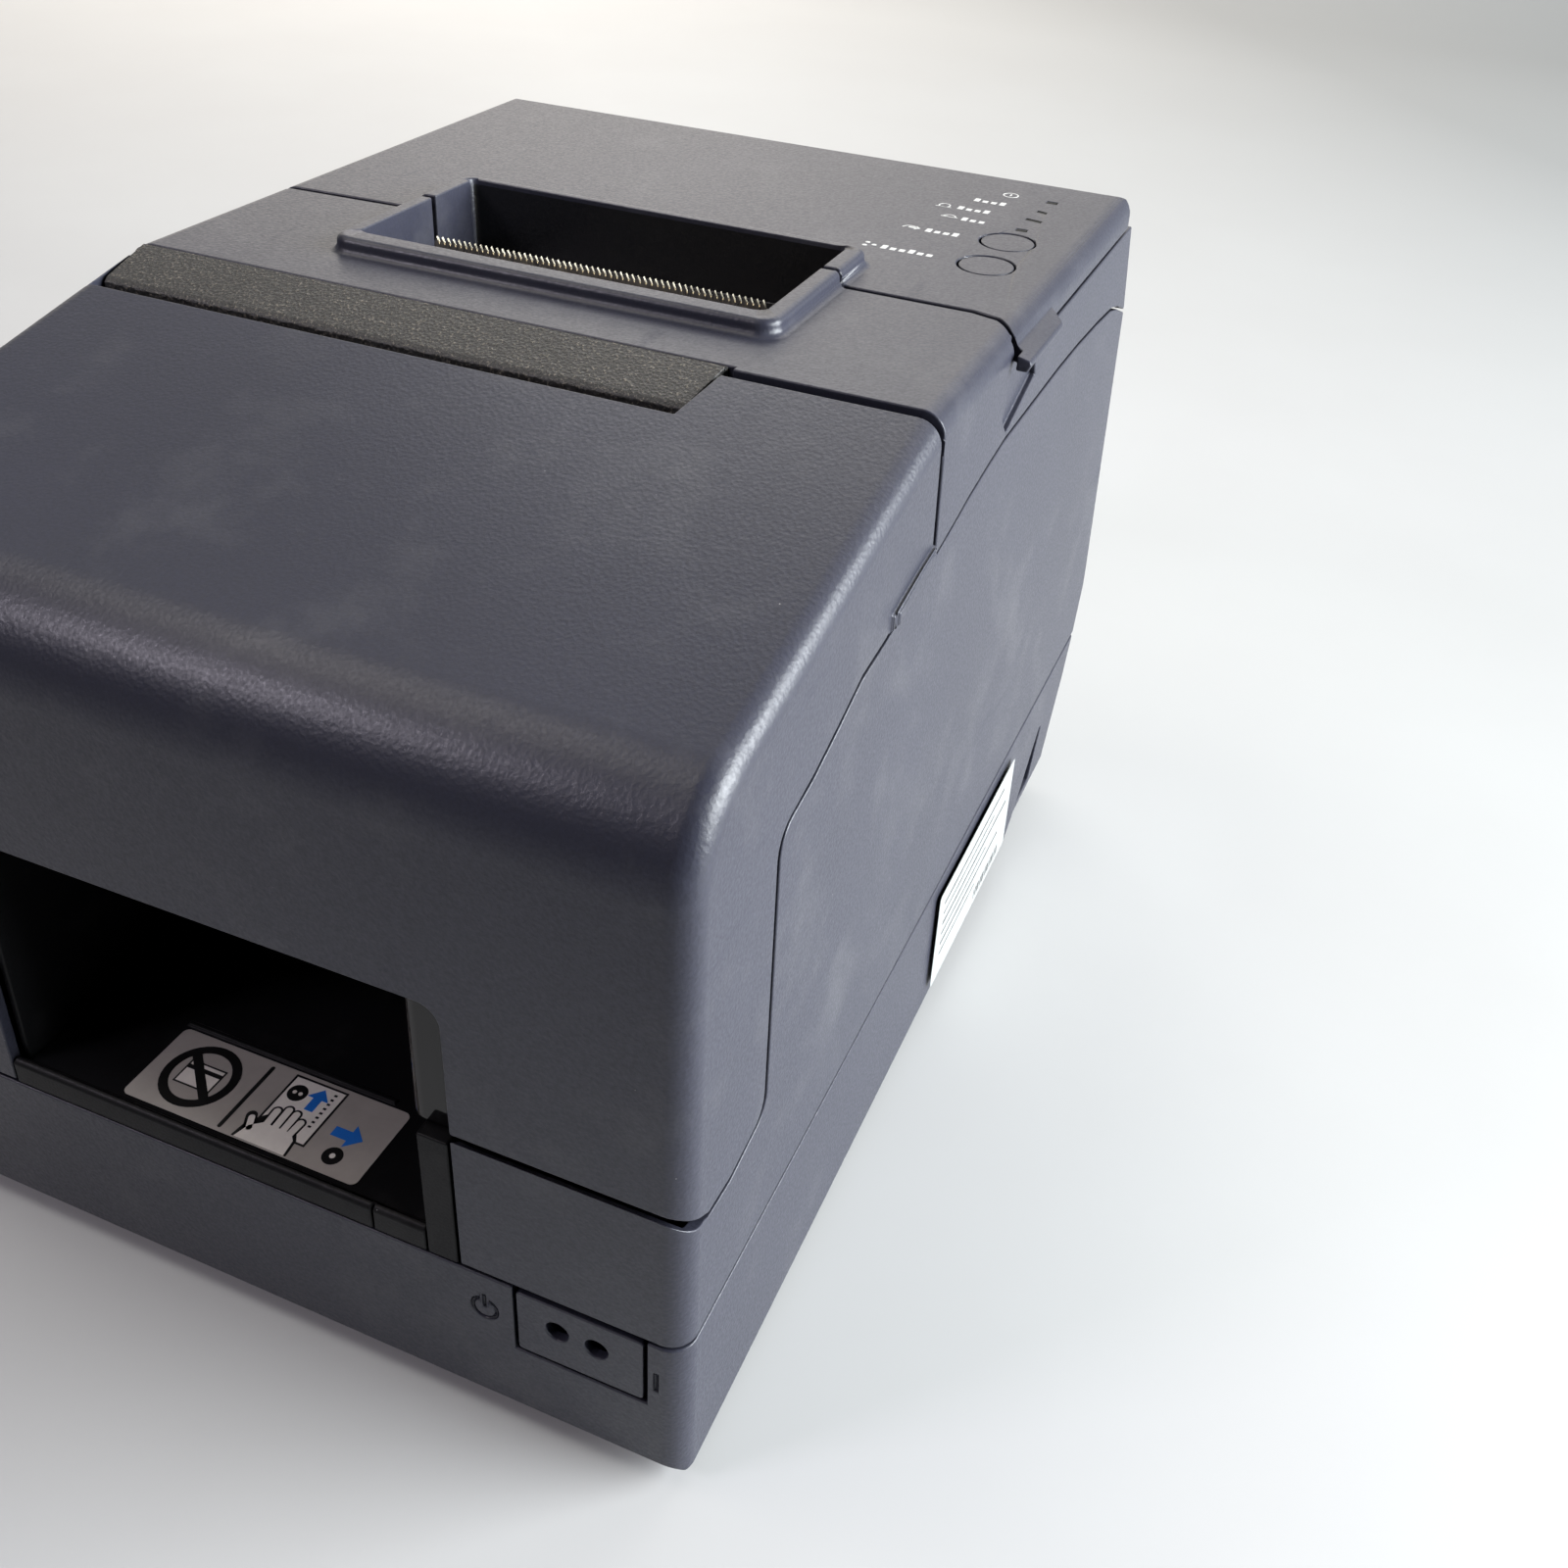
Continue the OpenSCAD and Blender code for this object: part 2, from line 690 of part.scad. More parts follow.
module thermal_head() {
    color([0.75, 0.72, 0.6]) at_head() span([-40, -platen_r - 2.8, -14], [40, -platen_r - 0.3, 3]);
}

module heat_sink() {
    color("silver") at_head() {
        span([-41, -platen_r - 4.8, -15], [41, -platen_r - 2.8, 3]);
        for (i = [0 : 3]) span([-41, -platen_r - 9, -13 + 4.5 * i], [41, -platen_r - 4.7, -11.5 + 4.5 * i]);
    }
}

module head_springs() {
    color(steel) for (x = [-24, 24]) at_head()
        translate([x, -platen_r - 9.1, -5.5]) rotate([90, 0, 0]) coil_spring(2.6, 0.4, 9, 4);
}

module head_stop_plate() {
    at_head() span([-44, -platen_r - 20, -14], [44, -platen_r - 18.3, 3]);
}

cutter_x = -30;
cutter_y = -10;
cutter_rear = 18.6;
rack_m = 0.8;
blade_z = 160;

module cutter_frame() {
    color(steel) {
        difference() {
            union() {
                span([-48, -26, 157], [48, cutter_rear, 158.6]);
                span([-48, -26, 162.4], [48, cutter_rear, 163.8]);
                for (s = [-1, 1]) span([s * 47 - 1, -26, 158.5], [s * 47 + 1, cutter_rear, 162.5]);
            }
            rod_z(156, 159, [cutter_x, cutter_y], 2.2);
        }
        head_stop_plate();
        for (x = [-44, 42.4]) span([x, 4, 138], [x + 1.6, 14, 157.1]);
        for (s = [-1, 1]) span([s * 67.2 - 19.3, -20, 157], [s * 67.2 + 19.3, -6, 158.6]);
    }
}

module cutter_motor() {
    color(steel) difference() {
        union() {
            rod_z(138, 155.6, [cutter_x, cutter_y], 9);
            span([cutter_x - 12, cutter_y - 4, 155.5], [cutter_x + 12, cutter_y + 4, 157]);
        }
        rod_z(148, 158, [cutter_x, cutter_y], 1.15);
    }
}

module cutter_gear() {
    color("white") translate([cutter_x, cutter_y, blade_z]) {
        linear_extrude(1.2) gear_2d(pinion_teeth, rack_m);
        translate([0, 0, -10]) cylinder(h = 10.1, r = 1);
    }
}

module cutter_blade() {
    pitch = PI * rack_m;
    pitch_x = cutter_x + pinion_teeth * rack_m / 2 + 0.15;
    color("silver") {
        translate([0, 0, blade_z]) linear_extrude(1)
            polygon([[-40, 8], [-40, 19.4], [-38, 17.8], [0, 19.4], [38, 17.8], [40, 19.4], [40, 8]]);
        span([pitch_x + 1, -24, blade_z], [pitch_x + 7, 10, blade_z + 1]);
        for (i = [-4 : 4]) translate([pitch_x, cutter_y + (i + 0.5) * pitch, blade_z]) linear_extrude(1)
            polygon([[1.3, 0.23 * pitch], [-0.65, 0.09 * pitch],
                [-0.65, -0.09 * pitch], [1.3, -0.23 * pitch]]);
    }
}

// Gear on a shaft along X
module gear_x(x0, width, yz, teeth, m, bore) {
    difference() {
        along_x(x0, x0 + width) translate(yz) rotate(90) gear_2d(teeth, m);
        if (bore > 0) rod_x(x0 - 1, x0 + width + 1, yz, bore);
    }
}

// Motor body along X with a bore for its pinion's shaft
module motor_x(x0, x1, yz, r) {
    color(steel) difference() {
        rod_x(x0, x1, yz, r);
        rod_x(x0 - 1, x0 + 12, yz, motor_shaft_r + running_gap);
    }
}

motor_shaft_r = 1.5;

module receipt_motor() {
    motor_x(53.6, 73, receipt_pinion_yz, 14);
}

module receipt_pinion() {
    color("white") {
        gear_x(46.4, 4, receipt_pinion_yz, pinion_teeth, 1, 0);
        rod_x(50.3, 64, receipt_pinion_yz, motor_shaft_r);
    }
}

// The idler stands half a tooth round, so that its teeth meet the gaps of both neighbours
module receipt_idler() {
    color("white") difference() {
        along_x(46.4, 50.4) translate(receipt_idler_yz) rotate(90 + 180 / idler_teeth)
            gear_2d(idler_teeth, 1);
        rod_x(46, 51, receipt_idler_yz, 2 + running_gap);
    }
}

module platen_roller() {
    color(rubber) rod_x(-40, 40, platen_yz, platen_r);
    color(steel) {
        rod_x(-50, -39.9, platen_yz, 3);
        rod_x(39.9, 51, platen_yz, 3);
    }
}

module platen_gear() {
    color("white") gear_x(46.4, 4, platen_yz, platen_teeth, 1, 3);
}

module fixed_blade() {
    color("silver") along_x(-42, 42)
        polygon([[24.6, 161.3], [38, 161.3], [38, 165.9], [30, 165.9], [30, 162.6], [25.4, 162.6]]);
}

// ---- Slip mechanism ----

slip_pinion_yz = slip_feed_yz - [0, (slip_gear_teeth + pinion_teeth) / 2 + 0.15];
roller_xs = [-30, 20];
pulley_x = 74;
belt_y = -96;
belt_z = [110, 114];

module slip_feed_rollers() {
    color(rubber) for (x = roller_xs) rod_x(x - 6, x + 6, slip_feed_yz, slip_roller_r);
    color(steel) rod_x(slot_x0 - 1.8, 68, slip_feed_yz, feed_shaft_r);
    color("white") gear_x(60, 5, slip_feed_yz, slip_gear_teeth, 1, 0);
}

module slip_pinch_rollers() {
    color(rubber) for (x = roller_xs) rod_x(x - 6, x + 6, slip_pinch_yz, slip_roller_r);
    color(steel) rod_x(slot_x0 - 1.8, 42, slip_pinch_yz, pinch_shaft_r);
}

module slip_pinion() {
    color("white") {
        along_x(60, 65) translate(slip_pinion_yz) rotate(90 + 180 / pinion_teeth) gear_2d(pinion_teeth, 1);
        rod_x(64.9, 77, slip_pinion_yz, motor_shaft_r);
    }
}

module slip_motor() {
    motor_x(66.3, 84, slip_pinion_yz, 11);
    color(steel) difference() {
        span([65.5, -98, base_z + wall + 0.5], [66.4, -70, 48]);
        rod_x(65, 67, slip_pinion_yz, 5);
        rod_x(65, 67, slip_feed_yz, feed_shaft_r + running_gap);
    }
}

module carriage_motor() {
    color(steel) difference() {
        rod_z(84, 106.1, [-pulley_x, belt_y], 10.5);
        rod_z(94, 107, [-pulley_x, belt_y], motor_shaft_r + running_gap);
    }
}

module pulley_disc(x) {
    rod_z(belt_z[0] - 1.4, belt_z[1] + 0.8, [x, belt_y], pulley_r);
    rod_z(belt_z[0] - 1.4, belt_z[0] - 0.4, [x, belt_y], pulley_r + 1.4);
    rod_z(belt_z[1] + 0.2, belt_z[1] + 0.8, [x, belt_y], pulley_r + 1.4);
}

module motor_pulley() {
    color("white") pulley_disc(-pulley_x);
    color(steel) rod_z(95, belt_z[0] - 1.3, [-pulley_x, belt_y], motor_shaft_r);
}

module idler_pulley() {
    color("white") difference() {
        pulley_disc(pulley_x);
        rod_z(100, 120, [pulley_x, belt_y], 1.5 + running_gap);
    }
}

module carriage_belt() {
    color(black) translate([0, 0, belt_z[0]]) linear_extrude(belt_z[1] - belt_z[0]) difference() {
        belt_loop(pulley_r + 1.2);
        belt_loop(pulley_r + 0.2);
    }
}

module belt_loop(r) {
    for (s = [-1, 1]) translate([s * pulley_x, belt_y]) circle(r);
    translate([-pulley_x, belt_y - r]) square([2 * pulley_x, 2 * r]);
}

module carriage_shaft() {
    color(steel) rod_x(-87.9, 87.9, carriage_yz, shaft_r);
}

module head_carriage() {
    color(black) difference() {
        union() {
            span([-14, belt_y + pulley_r + 1.3, 106], [14, -62, 118]);
            span([-5, belt_y + pulley_r + 1.3, 117.9], [5, -84, 121]);
        }
        rod_x(-15, 15, carriage_yz, shaft_r + running_gap);
    }
}

module impact_head() {
    color(steel) {
        span([-11, -82, 118], [11, -60, 122.1]);
        for (i = [0 : 4]) span([-11, -82 + 4.7 * i, 122], [11, -79 + 4.7 * i, 137]);
        span([-9, -80, 122], [9, -60, 135]);
        span([-5, -60.1, 124], [5, -55, 132]);
    }
}

module ribbon_cassette() {
    color(black) difference() {
        union() {
            translate([0, 0, 122]) linear_extrude(24) round_rect([-70, -128], [70, -94], 5);
            both_sides() span([60, -94.5, 122], [68, -53.8, 134]);
        }
        rod_z(138, 147, knob_xy, 2.1);
    }
}

knob_xy = [-50, -111];

module ink_ribbon() {
    color([0.1, 0.05, 0.15]) span([-60, -54.2, 124], [60, -53.8, 132]);
}

module ribbon_knob() {
    color(black) {
        difference() {
            rod_z(146.2, 151, knob_xy, 8);
            for (i = [0 : 11]) translate([knob_xy[0], knob_xy[1], 145]) rotate(i * 30)
                translate([8.4, 0]) cylinder(h = 7, r = 1);
        }
        rod_z(139, 146.3, knob_xy, 2);
    }
}

// ---- Roll cover and its panel ----

button_xys = [[74.4, 67.4], [74.8, 48.8]];
lens_boxes = [[75.3, 104, 2.4], [75.3, 94.5, 2.4], [75.3, 86.8, 4], [74.7, 78, 2.4]];
lens_w = 1.5;

module lens_row(grow) {
    for (b = lens_boxes) translate([b[0], b[1]]) square([b[2] + grow, lens_w + grow], center = true);
}

module roll_cover() {
    nose_r = top_z - roll_hinge[1];
    profile = concat([[5, cover_low_z]], arc(roll_hinge, nose_r, -90, 90, 12), [[5, top_z]]);
    color(plastic) difference() {
        union() {
            difference() {
                intersection() {
                    along_y(5, rear_y) loaf_section(0, top_z);
                    along_x(-half_w - 1, half_w + 1) polygon(profile);
                    linear_extrude(300) round_rect([-half_w, -20], [half_w, roll_hinge[0] + nose_r], edge_r);
                }
                along_y(4, roll_hinge[0] - 3) loaf_section(wall, top_z - wall);
            }
            outlet_blank();
            cover_tab();
        }
        before_seam(1.5 * seam);
        outlet_void();
        span([outlet_x0, 15, top_z - 20], [outlet_x1, 21, top_z - 12]);
        both_sides() hinge_pocket();
        for (p = button_xys) rod_z(170, 190, p, button_d / 2 + 0.5);
        translate([0, 0, 170]) linear_extrude(20) lens_row(0.2);
    }
}

// Space round the hinge bracket, wide enough for it as the cover opens
module hinge_pocket() {
    along_x(85.6, inner_w) translate(roll_hinge) {
        circle(2.5);
        polygon(concat([[0, 0]], arc([0, 0], 16, 190, 350, 6)));
    }
    rod_x(81.6, 86, roll_hinge, roll_hinge_r + running_gap);
}

// Lip on the right side that lifts the cover
module cover_tab() {
    difference() {
        along_y(tab_y[0] - 2, tab_y[1]) polygon([[86, top_z - 2.4], [88.6, top_z - 2.4],
            [half_w + 3.9, 176.4], [half_w + 4.2, 175.4], [half_w + 3.4, cover_low_z], [86, cover_low_z]]);
        translate([0, 0, 150]) linear_extrude(50) polygon([[half_w - 2, tab_y[1] + 1.3],
            [half_w + 5, tab_y[1] - 8], [half_w + 5, tab_y[1] + 2], [half_w - 2, tab_y[1] + 2]]);
    }
}

module cover_liner() {
    bracket = [[42, 175], [58, 175], [58, 165], [41, 148], [33, 144.5], [26.5, 148], [26.5, 157],
        [33, 160.5], [38, 165.4]];
    color(black) difference() {
        union() {
            span([-56, 40, 173.6], [56, 108, 175.1]);
            for (x = [-54, -18, 18, 52]) span([x, 42, 175], [x + 2, 106, top_z - wall]);
            both_sides() along_x(43, 45.6) polygon(bracket);
        }
        rod_x(-60, 60, platen_yz, 3 + running_gap);
    }
}

module panel_board() {
    color(board_green) {
        span([60, 42, 173.9], [85.2, 110, 175.1]);
        for (y = [44, 108]) rod_z(175, top_z - wall, [64, y], 1.5);
    }
}

module status_lenses() {
    color([0.05, 0.06, 0.05]) translate([0, 0, 175.3]) linear_extrude(top_z - 175.4) lens_row(0);
}

module button(xy) {
    color(plastic) {
        rod_z(top_z - wall - 0.6, top_z - 0.1, xy, button_d / 2);
        rod_z(top_z - wall - 1.3, top_z - wall - 0.3, xy, button_d / 2 + 1.2);
        rod_z(175.1 + button_travel + 0.1, top_z - wall - 1.2, xy, 2);
    }
}

module feed_button() {
    button(button_xys[0]);
}

module release_button() {
    button(button_xys[1]);
}

module roll_cover_pins() {
    color(steel) both_sides() rod_x(81.9, 90, roll_hinge, roll_hinge_r);
}

// ---- Front cover ----

// Sloping top, bend and front as one solid block, with the edge to the sides rounded all the way round
module cover_blank() {
    rear = rear_y / 2;
    hull() {
        translate([0, bend_y, bend_z]) rotate([0, 90, 0]) rotate_extrude($fn = 80) bend_section();
        for (s = [-1, 1], yz = [[rear, slope_z(rear, edge_r)], [front_y + edge_r, 40], [rear, 40]])
            translate([s * (half_w - edge_r), yz[0], yz[1]]) corner_ball();
    }
}

// Ball that rounds a corner, with its flattest facets facing the side
module corner_ball() {
    rotate([0, 90, 0]) rotate_extrude($fn = 80) intersection() {
        circle(edge_r, $fn = 32);
        translate([0, -edge_r]) square([edge_r, 2 * edge_r]);
    }
}

// Half section of the bend, as (distance from its axis, x)
module bend_section() {
    translate([0, edge_r - half_w]) square([bend_r, 2 * (half_w - edge_r)]);
    translate([0, -half_w]) square([bend_r - edge_r, 2 * half_w]);
    for (s = [-1, 1]) translate([bend_r - edge_r, s * (half_w - edge_r)]) circle(edge_r, $fn = 32);
}

module front_cover() {
    rear = function (z) slope_y - 0.9 + (top_z - z) * 0.06;
    before = [[rear(60), 60], [rear(200), 200], [front_y - 1, 200], [front_y - 1, 60]];
    above = concat(parting(0), [[-20, 150.8], [-20, 200], [front_y - 1, 200]]);
    hollow = concat([[-10, 60], [-10, slope_z(-10, wall)]], cover_line(wall));
    color(plastic) difference() {
        union() {
            difference() {
                intersection() {
                    along_x(-half_w, half_w) intersection() {
                        polygon(before);
                        polygon(above);
                    }
                    cover_blank();
                }
                along_x(-inner_w, inner_w) polygon(hollow);
            }
            both_sides() rod_x(87.6, inner_w + 0.1, front_hinge, 3.8);
            both_sides() grip_ridge();
        }
        along_y(front_y - 1, front_y + 8) round_rect([slot_x0, 30], [slot_x1, slot_top_z], 4.5);
        translate([0, 0, 150]) linear_extrude(50)
            polygon([[2 - half_w, -51], [45.7, -51], [49, -34], [49, -20], [2 - half_w, -20]]);
        rod_x(-inner_w, inner_w, front_hinge, front_hinge_r + running_gap);
    }
}

// Raised bar on the side for the fingers that open the cover
module grip_ridge() {
    ridge = [[-58, 147.6], [-34.6, 150.9], [-34.8, 154.2], [-42, 153.4], [-58, 150.8]];
    along_x(inner_w + 0.5, half_w + 0.7) polygon(ridge);
    along_x(half_w, half_w + 1.2) polygon([for (p = ridge) p * 0.86 + [-6.4, 21.2]]);
}

module front_cover_pins() {
    color(steel) both_sides() rod_x(84.1, 90, front_hinge, front_hinge_r);
}

// ---- Power switch ----

rocker_xy = [71.5, front_y + 9.5];
rocker_tilt = 8;

module power_switch() {
    color(black) {
        difference() {
            span([61, front_y + 6, 26], [82, front_y + 25, 40]);
            span([62.4, front_y + 5, 27.4], [80.6, front_y + 15, 39]);
        }
        rod_z(27, 39.5, rocker_xy, 1);
        span([64, front_y + 8, base_z + wall + 0.5], [79, front_y + 23, 26.1]);
    }
}

module switch_rocker() {
    color(black) translate([rocker_xy[0], rocker_xy[1], 28]) rotate(-rocker_tilt)
    linear_extrude(10.4) difference() {
        union() {
            translate([-8.5, -5.7]) square([17, 1.9]);
            translate([-5, -4]) square([10, 4]);
            circle(3);
        }
        circle(1 + running_gap);
    }
}

module switch_cover() {
    color(plastic) difference() {
        union() {
            along_y(front_y, front_y + 2) round_rect([58.5, 24.5], [84.5, 40.7], 0.8);
            for (x = [59, 82.8]) span([x, front_y + 1.9, 30], [x + 1.2, front_y + 9, 36]);
        }
        along_y(front_y - 1, front_y + 3) {
            translate([66.9, 33.8]) circle(2.4);
            translate([75, 33.5]) circle(2.4);
        }
    }
}

base_casing();
rubber_feet();
right_side_casing();
left_side_casing();
rear_casing();
upper_casing();
slip_exit_guide();
slip_tray();
slip_frame();
entry_guide();
main_frame();
roll_bucket();
main_board();
interface_panel();
connector_sockets();
thumb_screws();
casing_screws();
tear_bar();
thermal_head();
heat_sink();
head_springs();
cutter_frame();
cutter_motor();
receipt_motor();
slip_motor();
carriage_motor();
carriage_shaft();
carriage_belt();
slip_platen();
slip_guide();
ribbon_cassette();
ink_ribbon();
roll_cover_pins();
front_cover_pins();
flat_cable();
power_switch();
roll_cover();
cover_liner();
status_lenses();
panel_board();
fixed_blade();
platen_roller();
platen_gear();
receipt_idler();
receipt_pinion();
feed_button();
release_button();
front_cover();
switch_rocker();
switch_cover();
cutter_blade();
cutter_gear();
head_carriage();
impact_head();
motor_pulley();
idler_pulley();
slip_feed_rollers();
slip_pinch_rollers();
slip_pinion();
ribbon_knob();
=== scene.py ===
"""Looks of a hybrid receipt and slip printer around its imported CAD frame. Units are metres."""

import json
import math

import bmesh
import bpy
from mathutils import Matrix, Vector
from mathutils.bvhtree import BVHTree
from mathutils.geometry import intersect_point_line


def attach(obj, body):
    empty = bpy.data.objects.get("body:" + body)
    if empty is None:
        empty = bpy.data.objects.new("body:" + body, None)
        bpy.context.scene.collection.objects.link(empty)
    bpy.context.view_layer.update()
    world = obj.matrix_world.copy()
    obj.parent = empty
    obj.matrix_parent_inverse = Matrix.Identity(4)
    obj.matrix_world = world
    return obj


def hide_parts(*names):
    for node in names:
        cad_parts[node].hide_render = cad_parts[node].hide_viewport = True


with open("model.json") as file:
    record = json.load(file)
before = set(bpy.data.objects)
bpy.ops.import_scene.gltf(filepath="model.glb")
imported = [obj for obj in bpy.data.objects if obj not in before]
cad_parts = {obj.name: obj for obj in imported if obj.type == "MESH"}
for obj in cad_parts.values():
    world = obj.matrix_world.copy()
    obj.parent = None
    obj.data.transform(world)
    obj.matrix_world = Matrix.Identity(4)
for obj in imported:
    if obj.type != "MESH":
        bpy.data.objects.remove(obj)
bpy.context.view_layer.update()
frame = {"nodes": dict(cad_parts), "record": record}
NODES = frame["nodes"]
BODY_OF = {n: b for b, ns in frame["record"]["behaviour"]["bodies"].items() for n in ns}
SLOT_OF = {s["node"]: s["material_slot"] for s in frame["record"]["subparts"]}
MM = 0.001


# ---- Shader helpers ----

class Shader:
    """A material with one Principled surface and short ways to add texture nodes in millimetres."""

    def __init__(self, name, roughness, metallic=0.0, specular=0.5):
        self.material = bpy.data.materials.new(name)
        self.material.use_nodes = True
        self.tree = self.material.node_tree
        self.tree.nodes.clear()
        output = self.add("ShaderNodeOutputMaterial")
        self.surface = self.add("ShaderNodeBsdfPrincipled")
        self.link(self.surface.outputs[0], output.inputs[0])
        self.surface.inputs["Roughness"].default_value = roughness
        self.surface.inputs["Metallic"].default_value = metallic
        self.surface.inputs["Specular IOR Level"].default_value = specular
        self.place = self.add("ShaderNodeTexCoord").outputs["Object"]

    def add(self, kind, **settings):
        node = self.tree.nodes.new(kind)
        for key, value in settings.items():
            setattr(node, key, value)
        return node

    def link(self, source, target):
        self.tree.links.new(source, target)

    def put(self, socket, value):
        """Sets an input to a number, a colour or another node's output."""
        if isinstance(value, bpy.types.NodeSocket):
            self.link(value, socket)
        elif isinstance(value, (tuple, list)) and len(value) == 3 and socket.type == "RGBA":
            socket.default_value = (*value, 1)
        else:
            socket.default_value = value

    def stretched(self, stretch):
        mapping = self.add("ShaderNodeMapping")
        self.link(self.place, mapping.inputs["Vector"])
        mapping.inputs["Scale"].default_value = stretch
        return mapping.outputs[0]

    def noise(self, size, detail=3.0, rough=0.55, stretch=(1, 1, 1)):
        """Cloudy noise whose largest features are about size millimetres."""
        node = self.add("ShaderNodeTexNoise")
        self.link(self.stretched(stretch), node.inputs["Vector"])
        node.inputs["Scale"].default_value = 1000 / size
        node.inputs["Detail"].default_value = detail
        node.inputs["Roughness"].default_value = rough
        return node.outputs[0]

    def cells(self, size, feature="F1", output="Distance", stretch=(1, 1, 1)):
        node = self.add("ShaderNodeTexVoronoi", feature=feature)
        self.link(self.stretched(stretch), node.inputs["Vector"])
        node.inputs["Scale"].default_value = 1000 / size
        return node.outputs[output]

    def math(self, operation, a, b=0.0):
        node = self.add("ShaderNodeMath", operation=operation)
        self.put(node.inputs[0], a)
        self.put(node.inputs[1], b)
        return node.outputs[0]

    def ramp(self, value, low, high, out_low=0.0, out_high=1.0):
        """Takes value from low..high to out_low..out_high, held at the ends."""
        node = self.add("ShaderNodeMapRange")
        for socket, number in zip(node.inputs[:5], (value, low, high, out_low, out_high)):
            self.put(socket, number)
        return node.outputs[0]

    def mix(self, share, a, b):
        node = self.add("ShaderNodeMix", data_type="RGBA")
        self.put(node.inputs["Factor"], share)
        self.put(node.inputs[6], a)
        self.put(node.inputs[7], b)
        return node.outputs[2]

    def bump(self, heights, strength=0.3):
        """Adds bump from (height, millimetres) pairs, finest last."""
        normal = None
        for height, depth in heights:
            node = self.add("ShaderNodeBump")
            node.inputs["Strength"].default_value = strength
            node.inputs["Distance"].default_value = depth * MM
            self.link(height, node.inputs["Height"])
            if normal is not None:
                self.link(normal, node.inputs["Normal"])
            normal = node.outputs[0]
        self.link(normal, self.surface.inputs["Normal"])

    def edges(self, radius):
        """1 near a hard edge and 0 on a flat face."""
        bevel = self.add("ShaderNodeBevel", samples=4)
        bevel.inputs["Radius"].default_value = radius * MM
        geometry = self.add("ShaderNodeNewGeometry")
        dot = self.add("ShaderNodeVectorMath", operation="DOT_PRODUCT")
        self.link(bevel.outputs[0], dot.inputs[0])
        self.link(geometry.outputs["Normal"], dot.inputs[1])
        return self.ramp(dot.outputs["Value"], 0.98, 0.75)

    def openness(self, reach):
        """0 in a gap narrower than reach millimetres and 1 on an open face."""
        node = self.add("ShaderNodeAmbientOcclusion", samples=4)
        node.inputs["Distance"].default_value = reach * MM
        return self.ramp(node.outputs["AO"], 0.2, 0.6)

    def inside(self, low, high):
        """1 inside the box between two corners in millimetres."""
        split = self.add("ShaderNodeSeparateXYZ")
        self.link(self.place, split.inputs[0])
        share = 1.0
        for value, a, b in zip(split.outputs, low, high):
            above = self.math("GREATER_THAN", value, a * MM)
            below = self.math("LESS_THAN", value, b * MM)
            share = self.math("MULTIPLY", share, self.math("MULTIPLY", above, below))
        return share

    def paint_shade_in_gaps(self, tone, color, specular):
        """Colours the surface with tone, and paints shade into seams and narrow gaps: nearly black there and
        without shine.
        """
        openness = self.openness(3.0)
        self.color(self.mix(openness, scaled(color, 0.08), tone))
        self.put(self.surface.inputs["Specular IOR Level"], self.math("MULTIPLY", openness, specular))

    def color(self, value):
        self.put(self.surface.inputs["Base Color"], value)

    def roughness(self, value):
        self.put(self.surface.inputs["Roughness"], value)


def scaled(color, k):
    return tuple(min(1.0, c * k) for c in color)


def moulded_plastic(name, color, rough=0.37, grain=0.7, depth=0.09, dust=1.0, specular=0.4, black_box=None):
    """Spark-textured moulding with faint clouding, specks of dust, rubbed edges, scuffs and painted shade in
    crevices.

    grain and depth are the texture's size in millimetres. The plastic is black inside black_box,
    which is given by two corners in millimetres.
    """
    s = Shader(name, rough, specular=specular)
    cloud = s.noise(60, 4)
    fine = s.noise(grain, 3, 0.6)
    pits = s.cells(grain * 1.4)
    tone = s.mix(s.ramp(cloud, 0.3, 0.7), scaled(color, 0.93), scaled(color, 1.07))
    tone = s.mix(s.ramp(fine, 0.35, 0.65, 0, 0.55), tone, scaled(color, 0.6))
    # A speck sits at the middle of some of the cells
    speck = s.cells(7.0)
    chosen = s.ramp(s.noise(19, 1), 0.5, 0.62)
    specks = s.math("MULTIPLY", s.ramp(speck, 0.022, 0.012), chosen)
    tone = s.mix(s.math("MULTIPLY", specks, 0.55 * dust), tone, (0.5, 0.5, 0.48))
    film = s.ramp(s.noise(26, 6, 0.7), 0.52, 0.75, 0, 0.05 * dust)
    tone = s.mix(film, tone, (0.45, 0.44, 0.42))
    rubbed = s.math("MULTIPLY", s.edges(0.5), s.ramp(s.noise(6, 3), 0.35, 0.7, 0.1, 0.5))
    tone = s.mix(s.math("MULTIPLY", rubbed, 0.5), tone, scaled(color, 1.9))
    if black_box:
        tone = s.mix(s.inside(*black_box), tone, (0.006, 0.006, 0.007))
    # Painted shade: seams and narrow gaps are coloured nearly black and lose their shine
    s.paint_shade_in_gaps(tone, color, specular)
    scuff = s.ramp(s.noise(9, 5, 0.7, (1, 0.15, 1)), 0.62, 0.75, 0, 0.12)
    s.roughness(s.math("ADD", s.ramp(fine, 0.3, 0.7, rough - 0.06, rough + 0.08), scuff))
    s.bump([(pits, depth * 0.7), (fine, depth)], 0.5)
    return s.material


